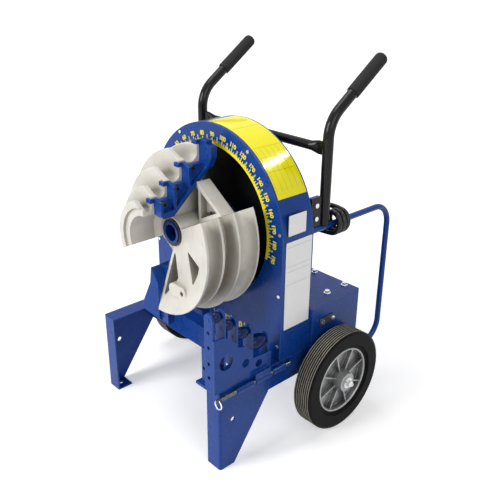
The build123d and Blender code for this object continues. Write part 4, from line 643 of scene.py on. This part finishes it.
# Tapered marks along an arc that faces the front
def tickTree(shape):
    tree = bpy.data.node_groups.new("dialTicks", "GeometryNodeTree")
    tree.interface.new_socket(name="Geometry", in_out="OUTPUT", socket_type="NodeSocketGeometry")
    kinds = {"Centre": "Vector", "Radius": "Float", "First Angle": "Float", "Step": "Float", "Count": "Int",
             "Length": "Float", "Width": "Float", "Lift": "Float", "Ink": "Material"}
    for name, kind in kinds.items():
        tree.interface.new_socket(name=name, in_out="INPUT", socket_type="NodeSocket" + kind)
    given = tree.nodes.new("NodeGroupInput").outputs

    points = tree.nodes.new("GeometryNodePoints")
    tree.links.new(given["Count"], points.inputs["Count"])
    index = tree.nodes.new("GeometryNodeInputIndex").outputs["Index"]
    angle = mathOf(tree, "ADD", given["First Angle"], mathOf(tree, "MULTIPLY", index, given["Step"]))
    halfLength = mathOf(tree, "MULTIPLY", given["Length"], 0.5)
    away = mathOf(tree, "ADD", given["Radius"], halfLength)
    across = mathOf(tree, "MULTIPLY", mathOf(tree, "COSINE", angle), away)
    up = mathOf(tree, "MULTIPLY", mathOf(tree, "SINE", angle), away)
    place = vectorMath(tree, "ADD", joinVector(tree, across, 0.0, up), given["Centre"])["Vector"]
    put = tree.nodes.new("GeometryNodeSetPosition")
    tree.links.new(points.outputs[0], put.inputs["Geometry"])
    tree.links.new(place, put.inputs["Position"])

    cone = tree.nodes.new("GeometryNodeMeshCone")
    cone.inputs["Vertices"].default_value = shape["sides"]
    for end, share in (("Radius Top", shape["topShare"]), ("Radius Bottom", shape["footShare"])):
        tree.links.new(mathOf(tree, "MULTIPLY", given["Width"], share), cone.inputs[end])
    tree.links.new(given["Length"], cone.inputs["Depth"])
    lay = tree.nodes.new("GeometryNodeTransform")
    tree.links.new(cone.outputs["Mesh"], lay.inputs["Geometry"])
    lay.inputs["Rotation"].default_value = (0.0, math.pi / 2, 0.0)
    back = mathOf(tree, "MULTIPLY", halfLength, -1.0)
    tree.links.new(joinVector(tree, back, 0.0, 0.0), lay.inputs["Translation"])
    thin = tree.nodes.new("GeometryNodeTransform")
    tree.links.new(lay.outputs["Geometry"], thin.inputs["Geometry"])
    flat = mathOf(tree, "DIVIDE", given["Lift"], given["Width"])
    tree.links.new(joinVector(tree, 1.0, flat, 1.0), thin.inputs["Scale"])

    copies = tree.nodes.new("GeometryNodeInstanceOnPoints")
    tree.links.new(put.outputs["Geometry"], copies.inputs["Points"])
    tree.links.new(thin.outputs["Geometry"], copies.inputs["Instance"])
    turn = joinVector(tree, 0.0, mathOf(tree, "MULTIPLY", angle, -1.0), 0.0)
    tree.links.new(turn, copies.inputs["Rotation"])
    real = tree.nodes.new("GeometryNodeRealizeInstances")
    tree.links.new(copies.outputs["Instances"], real.inputs["Geometry"])
    ink = tree.nodes.new("GeometryNodeSetMaterial")
    tree.links.new(real.outputs["Geometry"], ink.inputs["Geometry"])
    tree.links.new(given["Ink"], ink.inputs["Material"])
    tree.links.new(ink.outputs["Geometry"], tree.nodes.new("NodeGroupOutput").inputs["Geometry"])
    return tree


def grownMesh(name, tree, values):
    carrier = bpy.data.objects.new(name, bpy.data.meshes.new(name))
    grow = carrier.modifiers.new("grow", "NODES")
    grow.node_group = tree
    for item in tree.interface.items_tree:
        if item.in_out == "INPUT":
            grow[item.identifier] = values[item.name]
    return plainMesh(carrier)


def ticksMesh(tree, scale, step, length, width):
    return grownMesh("ticks", tree, {
        "Centre": scale["centre"],
        "Radius": scale["band"][1] - scale["tickOverlap"],
        "First Angle": math.radians(scale["zeroAngle"] - scale["last"]),
        "Step": math.radians(step),
        "Count": int((scale["last"] - scale["first"]) / step) + 1,
        "Length": length,
        "Width": width,
        "Lift": scale["lift"],
        "Ink": yellowInk,
    })


def bandMesh(scale):
    cx, cy, cz = scale["centre"]
    (inner, outer), lift = scale["band"], scale["lift"]
    first, last = scale["bandSweep"]
    rows = []
    for i in range(scale["bandSteps"] + 1):
        angle = math.radians(first + (last - first) * i / scale["bandSteps"])
        rows.append([(cx + r * math.cos(angle), cy - y, cz + r * math.sin(angle))
                     for r, y in ((inner, 0.0), (inner, lift), (outer, lift), (outer, 0.0))])
    return skinMesh("band", rows)


def barMesh(face, lift, start, end, width):
    start, end = Vector(start), Vector(end)
    along = (end - start).normalized()
    side = Vector((-along.y, along.x)) * width / 2
    corners = (start - side, end - side, end + side, start + side)
    return skinMesh("bar", [[(c.x, face - y, c.y) for c in corners] for y in (0.0, lift)])


def numeralMesh(scale, word, height, bold, spot, turn):
    text = bpy.data.curves.new("numeral", "FONT")
    text.body = word
    text.align_x = "CENTER"
    text.align_y = "CENTER"
    text.size = height / scale["capShare"]
    text.offset = bold
    text.extrude = scale["inkDepth"]
    mesh = plainMesh(bpy.data.objects.new("numeral", text))
    place = Matrix.Translation((spot[0], scale["centre"][1] - scale["lift"] / 2, spot[1]))
    mesh.transform(place @ Matrix.Rotation(turn, 4, "Y") @ Matrix.Rotation(math.pi / 2, 4, "X"))
    return mesh


# A numeral on the dial, with its foot towards the centre
def dialNumeral(scale, kind, number, word):
    angle = math.radians(scale["zeroAngle"] - number)
    radius = scale[kind + "Radius"]
    spot = (scale["centre"][0] + radius * math.cos(angle), scale["centre"][2] + radius * math.sin(angle))
    return numeralMesh(scale, word, scale[kind + "Height"], scale[kind + "Bold"], spot, math.pi / 2 - angle)


def makeDialScale(scale):
    first, last, step = scale["first"], scale["last"], scale["step"]
    tree = tickTree(tickShape)
    marks = [bandMesh(scale)]
    marks += [ticksMesh(tree, scale, *tick) for tick in scale["ticks"]]
    marks += [barMesh(scale["centre"][1], scale["lift"], *bar) for bar in scale["lowBars"]]
    marks += [dialNumeral(scale, "number", n, str(n)) for n in range(first, last + 1, step)]
    marks += [dialNumeral(scale, "five", n, "5") for n in range(first + step // 2, last, step)]
    marks.append(numeralMesh(scale, "0", scale["lowHeight"], scale["lowBold"], scale["lowZero"], 0.0))
    framePiece("dialScale", joinMeshes("dialScale", marks), yellowInk)


makeDialScale(dialScale)
print("dial scale printed")


# Blank film panels on the tower's side and over its arch, with a dark edge and ruled lines
filmLayers = {"sunk": 0.0001, "edge": 0.0002, "film": 0.0004, "rule": 0.0005}    # depth, then heights
sidePanels = {
    "x": towerSide,
    "corner": 0.003, "cornerSteps": 6, "cornerShare": 1 / 3,
    "edge": 0.0011, "rule": 0.0009, "margin": 0.006,
    "large": (0.219, 0.325, 0.372, 0.648),       # y from, y to, z from, z to
    "small": (0.226, 0.296, 0.666, 0.727),
    "largeRules": (0.632, 0.572, 0.556, 0.516),
}
archPanel = {
    "radius": towerSide, "centre": (0.0, shaftHeight), "y": (0.2125, 0.325),
    "edge": 0.0012, "rule": 0.0008, "margin": 0.006,
    "sweep": (96.5, 26.0),                       # degrees
    "crossRules": (92.5, 76.0, 57.5, 50.5, 41.5),
    "columns": 5, "columnSweep": (57.5, 30.0),
    "sharpAngle": 30.0,
}


def sidePanelMesh(panel, setup, layer, grow=0.0):
    y0, y1, z0, z1 = panel[0] - grow, panel[1] + grow, panel[2] - grow, panel[3] + grow
    radius = min(setup["corner"], (y1 - y0) * setup["cornerShare"], (z1 - z0) * setup["cornerShare"])
    left, right, low, high = y0 + radius, y1 - radius, z0 + radius, z1 - radius
    outline = []
    for cy, cz, start in ((right, high, 0), (left, high, 90), (left, low, 180), (right, low, 270)):
        for k in range(setup["cornerSteps"] + 1):
            angle = math.radians(start + 90 * k / setup["cornerSteps"])
            outline.append((cy + radius * math.cos(angle), cz + radius * math.sin(angle)))
    heights = (setup["x"] - filmLayers["sunk"], setup["x"] + filmLayers[layer])
    return skinMesh("sidePanel", [[(x, y, z) for y, z in outline] for x in heights])


def archPanelMesh(sweep, span, setup, layer):
    cx, cz = setup["centre"]
    low, high = setup["radius"] - filmLayers["sunk"], setup["radius"] + filmLayers[layer]
    steps = max(2, int(abs(sweep[1] - sweep[0])))    # about one for each degree
    rows = []
    for i in range(steps + 1):
        angle = math.radians(sweep[0] + (sweep[1] - sweep[0]) * i / steps)
        rows.append([(cx + r * math.cos(angle), y, cz + r * math.sin(angle))
                     for r, y in ((low, span[0]), (high, span[0]), (high, span[1]), (low, span[1]))])
    mesh = skinMesh("archPanel", rows)
    mesh.shade_smooth()
    mesh.set_sharp_from_angle(angle=math.radians(setup["sharpAngle"]))
    return mesh


def laySidePanel(size, setup):
    panel = setup[size]
    framePiece(size + "SideEdge", sidePanelMesh(panel, setup, "edge", setup["edge"]), darkInk)
    framePiece(size + "SidePanel", sidePanelMesh(panel, setup, "film"), whiteFilm)


def laySideRules(size, setup):
    y0, y1 = setup[size][0] + setup["margin"], setup[size][1] - setup["margin"]
    lines = [sidePanelMesh((y0, y1, z, z + setup["rule"]), setup, "rule") for z in setup[size + "Rules"]]
    framePiece(size + "SideRules", joinMeshes(size + "SideRules", lines), greyInk)


def layArchPanel(setup):
    edge, rule = setup["edge"], setup["rule"]
    spread = math.degrees(edge / setup["radius"])
    first, last = setup["sweep"]
    y0, y1 = setup["y"]
    border = archPanelMesh((first + spread, last - spread), (y0 - edge, y1 + edge), setup, "edge")
    framePiece("archEdge", border, darkInk)
    framePiece("archPanel", archPanelMesh((first, last), (y0, y1), setup, "film"), yellowFilm)
    half = math.degrees(rule / setup["radius"]) / 2
    left, right = y0 + setup["margin"], y1 - setup["margin"]
    lines = [archPanelMesh((a + half, a - half), (left, right), setup, "rule") for a in setup["crossRules"]]
    for k in range(setup["columns"] + 1):
        y = left + (right - left) * k / setup["columns"]
        lines.append(archPanelMesh(setup["columnSweep"], (y - rule / 2, y + rule / 2), setup, "rule"))
    framePiece("archRules", joinMeshes("archRules", lines), oliveInk)


laySidePanel("large", sidePanels)
laySideRules("large", sidePanels)
laySidePanel("small", sidePanels)
layArchPanel(archPanel)
print("panels laid")


# Studio: pale floor, soft lamps, white background
studio = {
    "floorSize": 80.0,
    "floorDrop": 0.0005,
    "floor": (0.90, 0.90, 0.90), "floorTint": 0.99, "floorCloud": (2.0, 3),
    "floorRough": 0.9, "floorGloss": 0.1,
    "glowNear": 0.40, "glowFar": 0.90, "glowReach": (0.7, 3.0),    # seen, but lights nothing dull
    "ambient": 0.20,
    "aim": (0, 0.2, 0.5),
    "lamps": {                                   # place, width, height, watts
        "key": ((-0.8, -3.3, 2.3), 1.7, 1.7, 104.0),
        "top": ((-0.5, 0.1, 3.4), 1.6, 1.6, 34.0),
        "back": ((0.88, 2.35, 2.96), 0.80, 0.15, 14.0),
        "side": ((2.7, -0.5, 2.0), 1.6, 1.6, 23.0),
    },
}


# One shader for what the camera or a shiny surface sees, another for the rest
def bySight(tree, unseen, seen, target):
    ray = tree.nodes.new("ShaderNodeLightPath").outputs
    sight = mathOf(tree, "MAXIMUM", ray["Is Camera Ray"], ray["Is Glossy Ray"])
    sight = mathOf(tree, "MAXIMUM", sight, ray["Is Transmission Ray"])
    pick = tree.nodes.new("ShaderNodeMixShader")
    for socket, output in zip(pick.inputs, (sight, unseen, seen)):
        tree.links.new(output, socket)
    tree.links.new(pick.outputs[0], target)


def layFloor(setup):
    bm = bmesh.new()
    bmesh.ops.create_grid(bm, x_segments=1, y_segments=1, size=setup["floorSize"])
    mesh = bpy.data.meshes.new("floor")
    bm.to_mesh(mesh)
    bm.free()
    floor = bpy.data.objects.new("floor", mesh)
    floor.location = (0, 0, -setup["floorDrop"])
    scene.collection.objects.link(floor)
    material, tree, shader, place = startMaterial("paleFloor")
    tone = cloudOf(tree, place, setup["floorCloud"])
    colour = blendOf(tree, tone, scaled(setup["floor"], setup["floorTint"]), setup["floor"])
    tree.links.new(colour, shader.inputs["Base Color"])
    setShader(shader, {"Roughness": setup["floorRough"], "Specular IOR Level": setup["floorGloss"]})
    glow = tree.nodes.new("ShaderNodeEmission")
    away = vectorMath(tree, "LENGTH", place)["Value"]
    strength = rangeOf(tree, away, *setup["glowReach"], setup["glowNear"], setup["glowFar"])
    tree.links.new(strength, glow.inputs["Strength"])
    total = tree.nodes.new("ShaderNodeAddShader")
    tree.links.new(shader.outputs[0], total.inputs[0])
    tree.links.new(glow.outputs[0], total.inputs[1])
    bySight(tree, shader.outputs[0], total.outputs[0], tree.nodes["Material Output"].inputs["Surface"])
    mesh.materials.append(material)


def whiteWorld(setup):
    world = bpy.data.worlds.new("studio")
    scene.world = world
    world.use_nodes = True
    tree = world.node_tree
    dim, white = tree.nodes["Background"], tree.nodes.new("ShaderNodeBackground")
    for background, strength in ((dim, setup["ambient"]), (white, 1.0)):
        background.inputs["Color"].default_value = (1, 1, 1, 1)
        background.inputs["Strength"].default_value = strength
    bySight(tree, dim.outputs[0], white.outputs[0], tree.nodes["World Output"].inputs["Surface"])


def hangLamps(setup):
    aim = Vector(setup["aim"])
    for name, (place, width, height, power) in setup["lamps"].items():
        data = bpy.data.lights.new(name + "Lamp", "AREA")
        data.shape = "RECTANGLE"
        data.size = width
        data.size_y = height
        data.energy = power
        lamp = bpy.data.objects.new(name + "Lamp", data)
        scene.collection.objects.link(lamp)
        lamp.location = place
        lamp.rotation_euler = (aim - Vector(place)).to_track_quat("-Z", "Y").to_euler()


layFloor(studio)
whiteWorld(studio)
hangLamps(studio)
print("studio lit")
